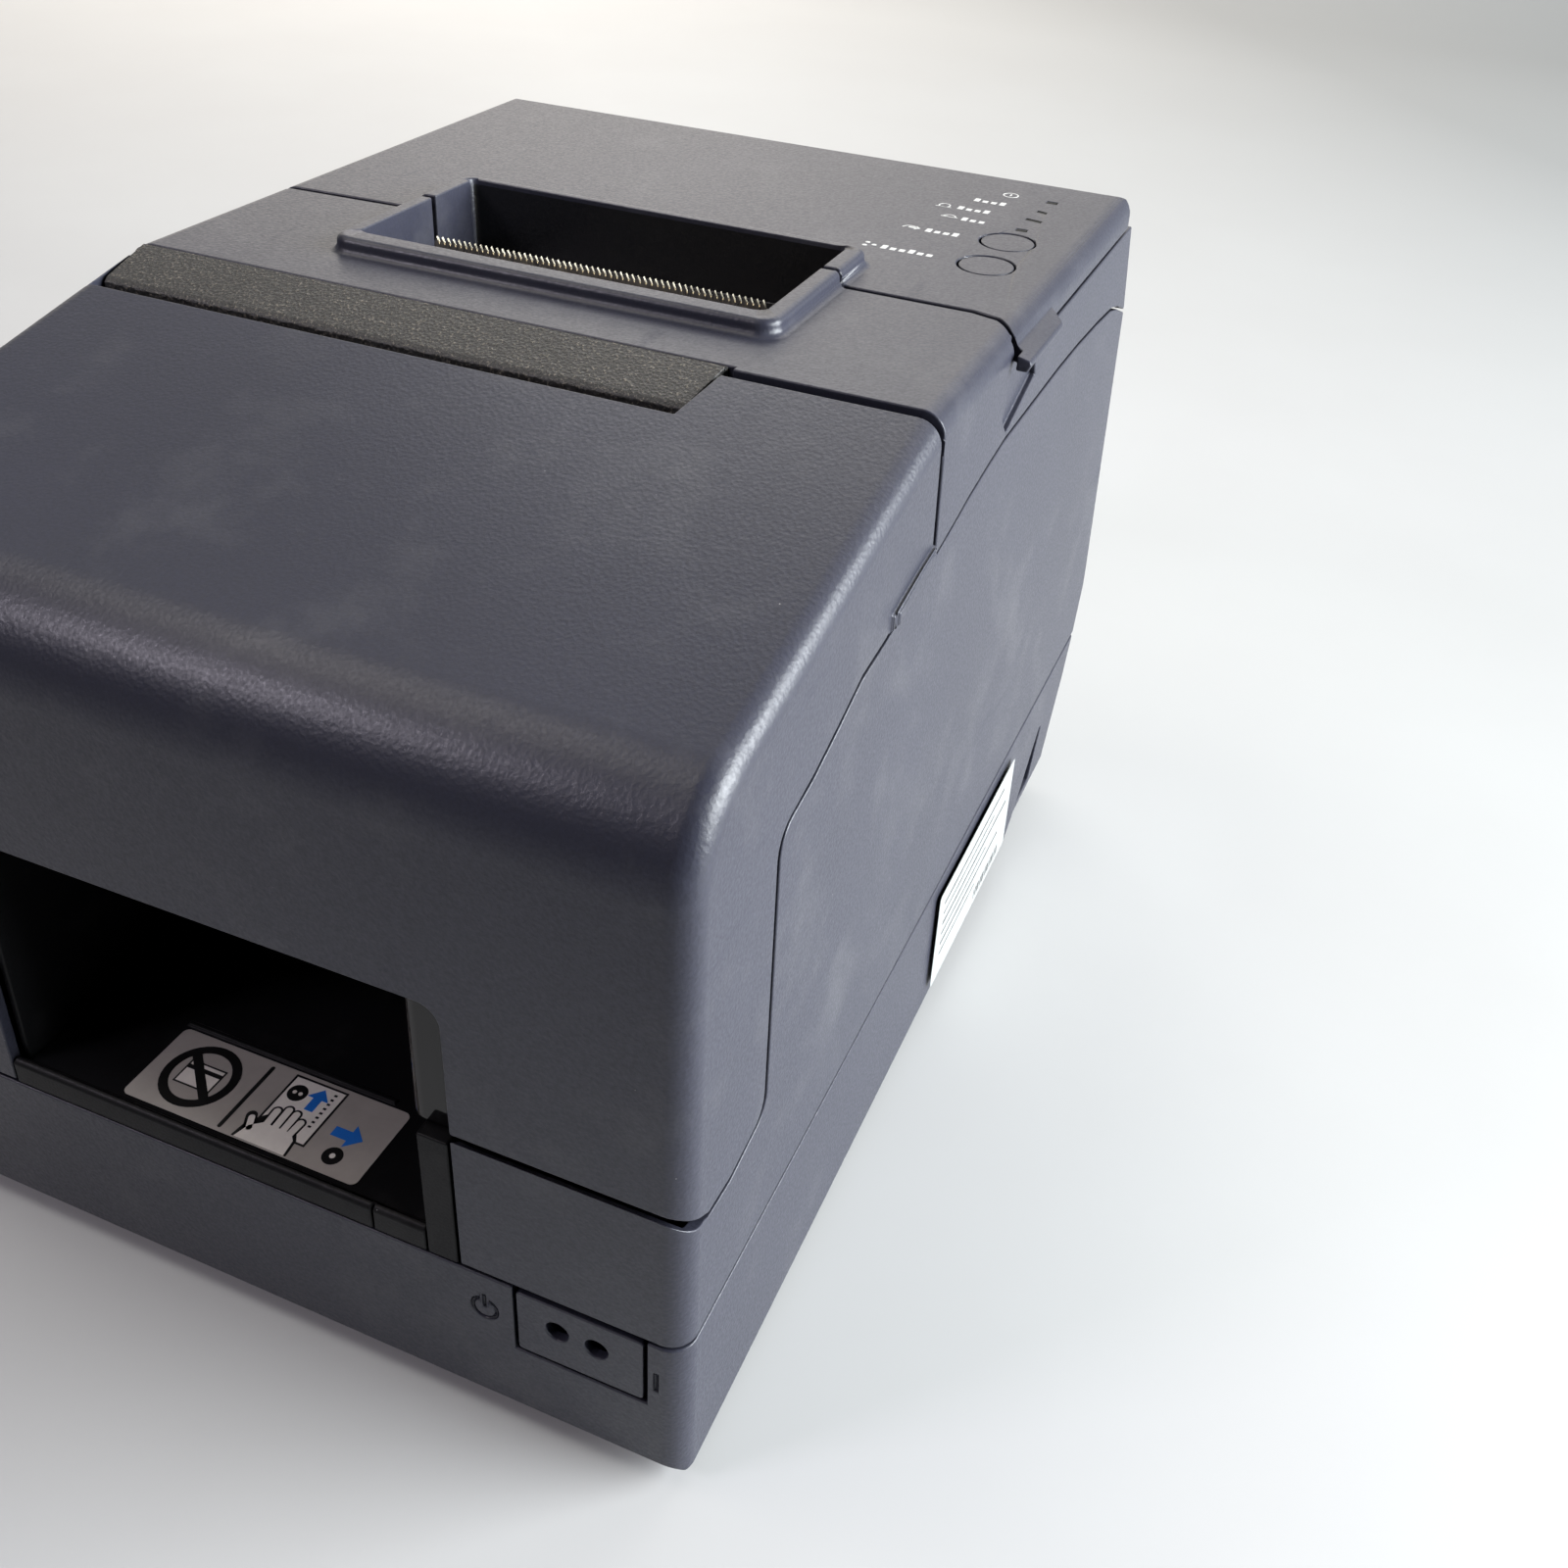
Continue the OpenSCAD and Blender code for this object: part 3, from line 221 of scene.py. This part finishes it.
def coarse_plastic(name, color):
    """Deep spark texture with a painted highlight: warm glints on its raised grain."""
    s = Shader(name, 0.36, specular=0.6)
    pits = s.cells(0.8)
    fine = s.noise(0.6, 4, 0.7)
    tone = s.mix(s.ramp(s.noise(30, 4), 0.3, 0.7), scaled(color, 0.75), scaled(color, 1.1))
    # Painted highlight: warm glints where the fine grain rises over the pits
    painted_glint = s.math("MULTIPLY", s.ramp(fine, 0.54, 0.68), s.ramp(pits, 0.25, 0.55))
    tone = s.mix(s.math("MULTIPLY", painted_glint, 0.7), tone, (0.32, 0.28, 0.22))
    # Painted shade: seams and narrow gaps are coloured nearly black and lose their shine
    s.paint_shade_in_gaps(tone, color, 0.6)
    s.roughness(s.ramp(fine, 0.3, 0.7, 0.3, 0.5))
    s.bump([(pits, 0.2), (fine, 0.3)], 0.7)
    return s.material


def gloss_plastic(name, color, rough=0.08, specular=0.6):
    s = Shader(name, rough, specular=specular)
    s.color(s.mix(s.ramp(s.noise(30, 4), 0.35, 0.7), color, scaled(color, 1.5)))
    swirl = s.ramp(s.noise(2.5, 6, 0.7, (0.2, 1, 1)), 0.55, 0.8, 0, 0.12)
    s.roughness(s.math("ADD", swirl, rough))
    s.bump([(s.noise(14, 3), 0.04), (s.noise(0.5, 2), 0.004)], 0.3)
    return s.material


def sheet_metal(name, color, rough=0.32, along=(0.04, 1, 1)):
    """Metal with fine rolling lines, slight stains and brighter edges."""
    s = Shader(name, rough, metallic=1.0)
    lines = s.noise(0.6, 3, 0.6, along)
    stain = s.noise(22, 5, 0.65)
    tone = s.mix(s.ramp(stain, 0.35, 0.7), scaled(color, 0.82), color)
    tone = s.mix(s.ramp(lines, 0.3, 0.7, 0, 0.3), tone, scaled(color, 0.75))
    s.color(s.mix(s.math("MULTIPLY", s.edges(0.35), 0.5), tone, scaled(color, 1.25)))
    stained = s.ramp(stain, 0.3, 0.7, rough, rough + 0.12)
    s.roughness(s.math("ADD", s.ramp(lines, 0.3, 0.7, -0.07, 0.1), stained))
    s.bump([(lines, 0.012)], 0.4)
    return s.material


def rubber_material(name, color=(0.022, 0.022, 0.023)):
    s = Shader(name, 0.75, specular=0.35)
    cloud = s.noise(11, 5, 0.65)
    s.color(s.mix(s.ramp(cloud, 0.4, 0.75), color, scaled(color, 2.2)))
    s.roughness(s.ramp(cloud, 0.3, 0.7, 0.65, 0.85))
    s.bump([(s.noise(0.35, 3), 0.03)], 0.5)
    return s.material


def board_material(name):
    """Solder mask with faint traces, pads and vias."""
    s = Shader(name, 0.35)
    mask = (0.012, 0.11, 0.045)
    lanes = s.cells(3.2, "F1", "Color", (1, 0.12, 1))
    trace = s.ramp(s.cells(1.6, "DISTANCE_TO_EDGE", "Distance", (1, 0.3, 1)), 0.1, 0.16)
    tone = s.mix(s.math("MULTIPLY", trace, 0.55), scaled(mask, 1.9), mask)
    tone = s.mix(0.18, tone, s.mix(lanes, mask, scaled(mask, 1.6)))
    via = s.ramp(s.cells(4.1), 0.12, 0.09)
    s.color(s.mix(via, tone, (0.55, 0.5, 0.35)))
    s.roughness(s.ramp(s.noise(8, 3), 0.3, 0.7, 0.25, 0.42))
    s.bump([(trace, 0.03), (via, 0.03)], 0.5)
    return s.material


def acetal_material(name, color=(0.72, 0.7, 0.64)):
    s = Shader(name, 0.4)
    s.surface.inputs["Subsurface Weight"].default_value = 0.15
    s.surface.inputs["Subsurface Radius"].default_value = (0.002, 0.002, 0.0015)
    grease = s.noise(5, 5, 0.7)
    s.color(s.mix(s.ramp(grease, 0.45, 0.8), color, scaled(color, 0.72)))
    s.roughness(s.ramp(grease, 0.4, 0.7, 0.42, 0.2))
    s.bump([(s.noise(0.8, 3), 0.01)], 0.4)
    return s.material


def fabric_material(name, color):
    """Woven inked ribbon."""
    s = Shader(name, 0.8, specular=0.25)
    warp = s.add("ShaderNodeTexWave", wave_type="BANDS", bands_direction="X")
    weft = s.add("ShaderNodeTexWave", wave_type="BANDS", bands_direction="Z")
    for wave in (warp, weft):
        s.link(s.place, wave.inputs["Vector"])
        wave.inputs["Scale"].default_value = 1000 / 1.6
    weave = s.math("MAXIMUM", warp.outputs[1], weft.outputs[1])
    s.color(s.mix(weave, scaled(color, 0.5), scaled(color, 1.6)))
    s.roughness(s.ramp(s.noise(4, 3), 0.3, 0.7, 0.7, 0.9))
    s.bump([(weave, 0.05)], 0.6)
    return s.material


def paper_print(name, color, rough=0.45, sheen=0.0):
    """Printed film or ink with faint fibres and handling marks."""
    s = Shader(name, rough, metallic=sheen)
    cloud = s.noise(7, 5, 0.65)
    s.color(s.mix(s.ramp(cloud, 0.35, 0.75), color, scaled(color, 0.86)))
    s.roughness(s.ramp(cloud, 0.3, 0.7, rough - 0.05, rough + 0.1))
    s.bump([(s.noise(0.4, 2), 0.008)], 0.3)
    return s.material


SLATE = (0.029, 0.030, 0.045)
# Box round the black rear wall of the receipt outlet
OUTLET_REAR_WALL = ((-49.6, 20, 150), (46.2, 34.6, 183.4))
MATERIALS = {
    "body_plastic": moulded_plastic("slate_plastic", SLATE),
    "lined_plastic": moulded_plastic("slate_plastic_black_inside", SLATE, black_box=OUTLET_REAR_WALL),
    "black_plastic": moulded_plastic("black_plastic", (0.007, 0.007, 0.0078), 0.4, 0.5, 0.03, 0.5, 0.12),
    "coarse_plastic": coarse_plastic("coarse_black_plastic", (0.018, 0.017, 0.016)),
    "gloss_black": gloss_plastic("gloss_black_plastic", (0.004, 0.004, 0.004), 0.06, 0.28),
    "rubber": rubber_material("black_rubber"),
    "steel": sheet_metal("zinc_steel", (0.56, 0.56, 0.57)),
    "blade_steel": sheet_metal("blade_steel", (0.82, 0.74, 0.58), 0.25, (1, 1, 0.05)),
    "aluminium": sheet_metal("extruded_aluminium", (0.74, 0.74, 0.76), 0.28, (1, 1, 0.04)),
    "circuit_board": board_material("circuit_board"),
    "gear_plastic": acetal_material("white_acetal"),
    "ceramic": gloss_plastic("glazed_ceramic", (0.5, 0.47, 0.38), 0.15),
    "ribbon_fabric": fabric_material("inked_ribbon", (0.03, 0.015, 0.05)),
    "lens": moulded_plastic("smoked_lens", (0.006, 0.007, 0.006), 0.5, 0.5, 0.02, 0.0, 0.1),
    "cable": paper_print("film_cable", (0.7, 0.7, 0.66)),
}
NODE_MATERIAL = {
    "slip_exit_guide": "coarse_plastic",
    "roll_cover": "lined_plastic",
    "entry_guide": "gloss_black",
}


def material_for(node):
    return MATERIALS[NODE_MATERIAL.get(node, SLOT_OF[node])]


# ---- Mesh helpers ----

SHARP = math.radians(35)
MERGE = 2e-6
# Share of the rounding's width that a rounded point may lie from the old surface
MISFIT = 0.77


def face_width(face):
    return face.calc_area() / max(e.calc_length() for e in face.edges)


def distance_to_edge(edge, point):
    start, end = (v.co for v in edge.verts)
    foot, share = intersect_point_line(point, start, end)
    foot = start if share < 0 else end if share > 1 else foot
    return (foot - point).length


def rounded_copy(source, width, narrowest):
    """The mesh with its hard edges rounded, apart from edges where a rounding would leave the surface.

    Edges of faces narrower than narrowest times the width stay sharp too.
    """
    misfits = []
    while True:
        bm = bmesh.new()
        bm.from_mesh(source)
        bmesh.ops.remove_doubles(bm, verts=bm.verts, dist=MERGE)
        surface = BVHTree.FromBMesh(bm)
        chosen = [
            e for e in bm.edges
            if len(e.link_faces) == 2 and e.calc_face_angle(0) > SHARP
            and all(face_width(f) > narrowest * width for f in e.link_faces)
            and not any(distance_to_edge(e, p) < 1.5 * width for p in misfits)
        ]
        bmesh.ops.bevel(bm, geom=chosen, offset=width, offset_type="OFFSET", segments=3, profile=0.5,
                        affect="EDGES", clamp_overlap=False)
        points = [v.co.copy() for v in bm.verts] + [f.calc_center_median() for f in bm.faces]
        found = [p for p in points if surface.find_nearest(p)[3] > MISFIT * width]
        if not found or not chosen:
            return bm
        misfits += found
        bm.free()


def add_piece(name, bm, material, body):
    mesh = bpy.data.meshes.new(name)
    bm.to_mesh(mesh)
    bm.free()
    piece = bpy.data.objects.new(name, mesh)
    bpy.context.scene.collection.objects.link(piece)
    mesh.materials.append(material)
    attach(piece, body)
    return piece


def shade_smooth(piece, angle=32):
    mesh = piece.data
    mesh.polygons.foreach_set("use_smooth", [True] * len(mesh.polygons))
    mesh.set_sharp_from_angle(angle=math.radians(angle))
    normals = piece.modifiers.new("even_normals", "WEIGHTED_NORMAL")
    normals.keep_sharp = True


def refined_shell(node, width, narrowest=0.0):
    """A shell with the CAD node's shape and softened edges, which stands for the node."""
    bm = rounded_copy(NODES[node].data, width * MM, narrowest)
    piece = add_piece(node + "_shell", bm, material_for(node), BODY_OF[node])
    shade_smooth(piece)
    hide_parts(node)


EDGE_WIDTHS = {
    "front_cover": 0.4, "upper_casing": 0.4, "roll_cover": 0.4, "base_casing": 0.4,
    "right_side_casing": 0.35, "left_side_casing": 0.35, "switch_cover": 0.3, "slip_tray": 0.35,
    "slip_frame": 0.4, "entry_guide": 0.5, "slip_exit_guide": 0.3, "feed_button": 0.25,
    "release_button": 0.25, "rear_casing": 0.4,
}
# Shells with slivers beside their hinge pockets, whose edges stay sharp
SLIVER_SHELLS = ("upper_casing", "roll_cover")
for shell, edge_width in EDGE_WIDTHS.items():
    refined_shell(shell, edge_width, 0.6 if shell in SLIVER_SHELLS else 0.0)

for node, part in NODES.items():
    part.data.materials.clear()
    part.data.materials.append(material_for(node))


# ---- Printed marks and labels ----

class Print:
    """Thin printed layers, drawn with convex outlines in millimetres on one plane of the part."""

    def __init__(self, plane):
        self.bm = bmesh.new()
        self.plane = plane

    def ring_of_corners(self, outline, height):
        return [self.bm.verts.new(self.plane @ (Vector((u, v, height)) * MM)) for u, v in outline]

    def plate(self, outline, base, top):
        low, high = self.ring_of_corners(outline, base), self.ring_of_corners(outline, top)
        self.bm.faces.new(low[::-1])
        self.bm.faces.new(high)
        count = len(outline)
        for i in range(count):
            j = (i + 1) % count
            self.bm.faces.new((low[i], low[j], high[j], high[i]))

    def box(self, low, high, base, top, corner=0.0):
        if not corner:
            self.plate([low, (high[0], low[1]), high, (low[0], high[1])], base, top)
            return
        left, right = low[0] + corner, high[0] - corner
        front, back = low[1] + corner, high[1] - corner
        outline = []
        for middle, start in (
            ((right, front), 270), ((right, back), 0), ((left, back), 90), ((left, front), 180),
        ):
            outline += [polar(middle, corner, start + 15 * i) for i in range(7)]
        self.plate(outline, base, top)

    def stroke(self, a, b, width, base, top):
        """A bar with round ends from a to b."""
        angle = math.degrees(math.atan2(b[1] - a[1], b[0] - a[0]))
        outline = [polar(b, width / 2, angle - 90 + 20 * i) for i in range(10)]
        outline += [polar(a, width / 2, angle + 90 + 20 * i) for i in range(10)]
        self.plate(outline, base, top)

    def disc(self, centre, radius, base, top):
        self.plate([polar(centre, radius, 10 * i) for i in range(36)], base, top)

    def ring(self, centre, inner, outer, base, top, start=0, end=360, squash=1.0):
        """A ring or arc of a ring, whose height is squash times its width."""
        steps = 36
        for i in range(steps):
            a, b = (start + (end - start) * k / steps for k in (i, i + 1))
            quad = [polar(centre, r, angle) for r, angle in ((outer, a), (outer, b), (inner, b), (inner, a))]
            self.plate([(u, centre[1] + (v - centre[1]) * squash) for u, v in quad], base, top)

    def arrow(self, tail, turn, length, base, top):
        """An arrow from tail, turned by a number of degrees from the first axis."""
        head, half_head, half_shaft = length * 0.45, length * 0.42, length * 0.17
        ahead = Vector((math.cos(math.radians(turn)), math.sin(math.radians(turn))))
        across = Vector((-ahead[1], ahead[0]))
        start = Vector(tail)
        neck, tip = start + ahead * (length - head), start + ahead * length
        self.plate([start - across * half_shaft, neck - across * half_shaft,
                    neck + across * half_shaft, start + across * half_shaft], base, top)
        self.plate([neck - across * half_head, tip, neck + across * half_head], base, top)

    def word(self, start, length, height, base, top):
        """A row of small blocks that stands for a word."""
        pitch = height * 0.85
        for i in range(int(length / pitch)):
            u = start[0] + i * pitch
            tall = 1.0 if i % 3 == 0 else 0.68
            self.box((u, start[1]), (u + pitch * 0.62, start[1] + height * tall), base, top)

    def done(self, name, material, body):
        bmesh.ops.recalc_face_normals(self.bm, faces=self.bm.faces)
        add_piece(name, self.bm, material, body)


def polar(centre, radius, degrees):
    angle = math.radians(degrees)
    return (centre[0] + radius * math.cos(angle), centre[1] + radius * math.sin(angle))


def plane(origin, u_axis, v_axis):
    """Matrix from (u, v, height) to the part, with the origin in millimetres."""
    u, v = Vector(u_axis), Vector(v_axis)
    turn = Matrix((u, v, u.cross(v))).transposed().to_4x4()
    return Matrix.Translation(Vector(origin) * MM) @ turn


def slip_label():
    """Silver film on the tray: no cards, and how a slip goes in."""
    on_tray = plane((-33.6, -135.4, 46.5), (1, 0, 0), (0, 1, 0))
    film, black, pale, blue = (Print(on_tray) for _ in range(4))
    film.box((0, 0), (55.2, 19.2), 0.02, 0.12, 1.4)
    # Ring with a bar over a card
    no_cards = (11.3, 9.7)
    black.ring(no_cards, 6.2, 8.1, 0.1, 0.18)
    black.box((6.9, 6.6), (15.7, 12.8), 0.1, 0.14)
    pale.box((7.3, 7.0), (15.3, 12.4), 0.11, 0.15)
    black.box((7.3, 10.6), (15.3, 11.6), 0.12, 0.16)
    black.stroke(polar(no_cards, 6.6, 135), polar(no_cards, 6.6, -45), 1.9, 0.12, 0.2)
    black.stroke((23, 1.2), (23, 17.6), 0.9, 0.1, 0.15)
    # Slip with a perforated edge
    black.box((28.4, 3.6), (41.0, 18.4), 0.1, 0.14)
    pale.box((28.9, 4.1), (40.5, 17.9), 0.11, 0.15)
    for i in range(8):
        black.box((38.5, 8.0 + 1.22 * i), (39.2, 8.5 + 1.22 * i), 0.12, 0.16)
    # Hand
    black.plate([(26.4, 0.3), (39.2, 0.3), (38.8, 4.2), (36.5, 7.6), (29.9, 7.6), (27, 4.4)], 0.12, 0.17)
    black.stroke((28.3, 3.2), (27.0, 5.9), 2.3, 0.12, 0.17)
    fingers = [
        ((31.0, 5), (30.8, 8.8)), ((33.0, 5), (32.8, 9.9)),
        ((34.9, 5), (34.8, 9.6)), ((36.6, 5), (36.8, 8.2)),
    ]
    for knuckle, tip in fingers:
        black.stroke(knuckle, tip, 2.4, 0.12, 0.17)
        pale.stroke(knuckle, tip, 1.5, 0.13, 0.19)
    pale.plate([(27.0, 0.3), (38.7, 0.3), (38.2, 4.0), (36.8, 5.4), (30.2, 5.4), (28.0, 3.6)], 0.13, 0.18)
    pale.stroke((28.4, 3.2), (27.3, 5.5), 1.3, 0.13, 0.18)
    # Order of the two moves, shown by one and two dots
    blue.arrow((36.1, 11.4), 90, 5.8, 0.14, 0.19)
    blue.arrow((43.6, 9.5), 0, 6.8, 0.1, 0.15)
    black.disc((31.5, 14.3), 2.1, 0.12, 0.17)
    black.disc((47.2, 4.2), 2.1, 0.1, 0.17)
    pale.disc((47.2, 4.2), 0.6, 0.13, 0.2)
    pale.disc((30.8, 14.3), 0.45, 0.13, 0.2)
    pale.disc((32.2, 14.3), 0.45, 0.13, 0.2)
    film.done("slip_label_film", paper_print("silver_film", (0.52, 0.485, 0.44), 0.38, 0.12), "chassis")
    black.done("slip_label_black", paper_print("black_ink", (0.006, 0.006, 0.006), 0.4), "chassis")
    pale.done("slip_label_pale", paper_print("pale_ink", (0.97, 0.93, 0.85), 0.45), "chassis")
    blue.done("slip_label_blue", paper_print("blue_ink", (0.02, 0.2, 0.75), 0.4), "chassis")


def rating_label():
    """White film on the base's right side, with bars in place of its print."""
    on_side = plane((93.98, 2, 7.5), (0, 1, 0), (0, 0, 1))
    film, ink = Print(on_side), Print(on_side)
    film.box((0, 0), (66, 30), 0.0, 0.1, 1.2)
    for row, length in enumerate((52, 44, 56, 38, 50, 30)):
        v = 25 - 3.4 * row
        ink.stroke((5, v), (5 + length, v), 0.55 if row % 2 else 0.8, 0.09, 0.13)
    for i in range(15):
        ink.box((36 + 1.5 * i, 2), (36.5 + 1.5 * i + 0.35 * (i % 3), 5), 0.09, 0.13)
    film.done("rating_label_film", paper_print("white_film", (0.3, 0.31, 0.305), 0.5), "chassis")
    ink.done("rating_label_print", paper_print("grey_ink", (0.06, 0.06, 0.06), 0.6), "chassis")


def panel_marks():
    """Small pale marks beside the lamps and buttons."""
    marks = Print(plane((0, 0, 181), (1, 0, 0), (0, 1, 0)))
    low, high = -0.02, 0.03
    marks.ring((64.4, 104.5), 1.7, 2.05, low, high)
    marks.box((64.2, 103.7), (64.6, 105.4), low, high)
    word_height = 2.6
    words = (
        ((57.4, 94.6), 9.2), ((55.8, 86.0), 11), ((59.4, 77.6), 8),
        ((54.6, 64.6), 10), ((49.6, 47.4), 15),
    )
    for start, length in words:
        marks.word(start, length, word_height, low, high)
    marks.ring((52.3, 87.2), 1.2, 1.55, low, high)
    marks.stroke((50.4, 86.0), (54.2, 86.0), 0.35, low, high)
    marks.ring((56.2, 78.9), 1.3, 1.65, low, high, 0, 180)
    marks.stroke((54.2, 78.7), (58.2, 78.7), 0.35, low, high)
    marks.ring((50.6, 65.4), 1.5, 1.85, low, high, 20, 180)
    marks.arrow((50.2, 66.0), 0, 3.0, low, high)
    for degrees in (0, 120, 240):
        marks.disc(polar((46.4, 48.9), 1.3, degrees), 0.6, low, high)
    marks.done("panel_marks", paper_print("pale_grey_ink", (0.62, 0.62, 0.6), 0.5), "roll_cover")


slip_label()
rating_label()
panel_marks()


# ---- Studio ----

def backdrop():
    """Pale floor that curves up into a wall behind the printer."""
    bm = bmesh.new()
    wall_y, bend, height, half = 1.9, 0.5, 2.2, 3.0
    line = [(-2.5, 0.0), (wall_y - bend, 0.0)]
    line += [(wall_y - bend + bend * math.sin(a), bend - bend * math.cos(a))
             for a in (math.radians(9 * i) for i in range(1, 11))]
    line += [(wall_y, height)]
    rows = [[bm.verts.new((x, y, z)) for x in (-half, half)] for y, z in line]
    for a, b in zip(rows, rows[1:]):
        bm.faces.new((a[0], a[1], b[1], b[0]))
    mesh = bpy.data.meshes.new("studio_floor")
    bm.to_mesh(mesh)
    bm.free()
    mesh.polygons.foreach_set("use_smooth", [True] * len(mesh.polygons))
    floor = bpy.data.objects.new("studio_floor", mesh)
    bpy.context.scene.collection.objects.link(floor)
    s = Shader("pale_floor", 0.55, specular=0.3)
    split = s.add("ShaderNodeSeparateXYZ")
    s.link(s.place, split.inputs[0])
    x, y, z = split.outputs
    tone = s.mix(s.ramp(s.noise(240, 4), 0.3, 0.7), (0.46, 0.455, 0.45), (0.49, 0.49, 0.485))
    # Painted shade: the floor is coloured darker towards the window, where its light falls strongest
    towards_window = s.math("ADD", x, s.math("MULTIPLY", y, 0.8))
    tone = s.mix(s.ramp(towards_window, 0.2, 1.05), tone, (0.235, 0.24, 0.24))
    # Painted shade: the floor is coloured darker in front of the printer
    s.color(s.mix(s.ramp(y, -0.19, -0.45), tone, (0.26, 0.26, 0.27)))
    s.bump([(s.noise(30, 3), 0.1)], 0.1)
    # The far end glows like a lit backdrop, warmer and stronger on the left
    far = s.ramp(y, 0.3, 1.2, 0.0, 0.46)
    band = s.math("MINIMUM", s.ramp(z, 0.05, 0.6, 0.0, 1.25), s.ramp(z, 0.9, 1.4, 1.25, 0.0))
    side = s.ramp(x, -0.8, 0.4, 1.0, 0.05)
    s.put(s.surface.inputs["Emission Color"], (1.0, 0.93, 0.84))
    s.put(s.surface.inputs["Emission Strength"], s.math("MULTIPLY", side, s.math("ADD", far, band)))
    mesh.materials.append(s.material)


def softbox(name, place, target, size, watts, color):
    """A rectangular light at place that faces target."""
    data = bpy.data.lights.new(name, "AREA")
    data.shape = "RECTANGLE"
    data.size, data.size_y = size
    data.energy = watts
    data.color = color
    light = bpy.data.objects.new(name, data)
    light.location = place
    light.rotation_mode = "QUATERNION"
    light.rotation_quaternion = (Vector(target) - Vector(place)).to_track_quat("-Z", "Y")
    bpy.context.scene.collection.objects.link(light)


def studio_light():
    """A large cool window on the right, weak lamps on the left and above, and a room brighter at the rear."""
    centre = (0, 0, 0.09)
    softbox("window_right", (1.6, 0.35, 0.62), centre, (1.4, 1.0), 118, (0.92, 0.97, 1.0))
    softbox("lamp_left", (-0.75, -0.85, 0.95), centre, (0.3, 0.3), 5.6, (0.95, 0.88, 1.0))
    softbox("ceiling_left", (-0.7, -0.2, 1.4), (-0.2, 0, 0), (0.7, 0.7), 5.5, (1.0, 0.93, 0.86))
    softbox("ceiling", (-0.1, 1.35, 1.3), centre, (1.9, 0.7), 13, (1.0, 0.98, 0.95))
    world = bpy.data.worlds.new("room")
    bpy.context.scene.world = world
    world.use_nodes = True
    tree = world.node_tree
    background = tree.nodes["Background"]
    coordinates = tree.nodes.new("ShaderNodeTexCoord")
    split = tree.nodes.new("ShaderNodeSeparateXYZ")
    tree.links.new(coordinates.outputs["Generated"], split.inputs[0])
    ramp = tree.nodes.new("ShaderNodeMapRange")
    for socket, value in zip(ramp.inputs[1:5], (-0.3, 1.0, 0.01, 0.7)):
        socket.default_value = value
    # Strength of the room's light from the front (-Y) to the rear
    tree.links.new(split.outputs["Y"], ramp.inputs[0])
    tree.links.new(ramp.outputs[0], background.inputs["Strength"])
    background.inputs["Color"].default_value = (0.95, 0.97, 1.0, 1)


def camera():
    """Close, high three-quarter view from the front right, with a slight roll and a shifted frame."""
    place = (0.1664, -0.2976, 0.2997)
    azimuth, pitch, roll = (math.radians(a) for a in (20.58, 31.95, 3.49))
    level = math.cos(pitch)
    forward = Vector((-math.sin(azimuth) * level, math.cos(azimuth) * level, -math.sin(pitch)))
    right = forward.cross(Vector((0, 0, 1))).normalized()
    up = right.cross(forward)
    rolled_right = math.cos(roll) * right + math.sin(roll) * up
    rolled_up = math.cos(roll) * up - math.sin(roll) * right
    data = bpy.data.cameras.new("photo_camera")
    data.sensor_width = 36
    data.lens = 37.16
    data.shift_x, data.shift_y = -0.0124, -0.0891
    data.clip_start = 0.01
    view = bpy.data.objects.new("photo_camera", data)
    turn = Matrix((rolled_right, rolled_up, -forward)).transposed().to_4x4()
    view.matrix_world = Matrix.Translation(place) @ turn
    bpy.context.scene.collection.objects.link(view)
    bpy.context.scene.camera = view


backdrop()
studio_light()
camera()
bpy.context.scene.view_settings.view_transform = "Standard"
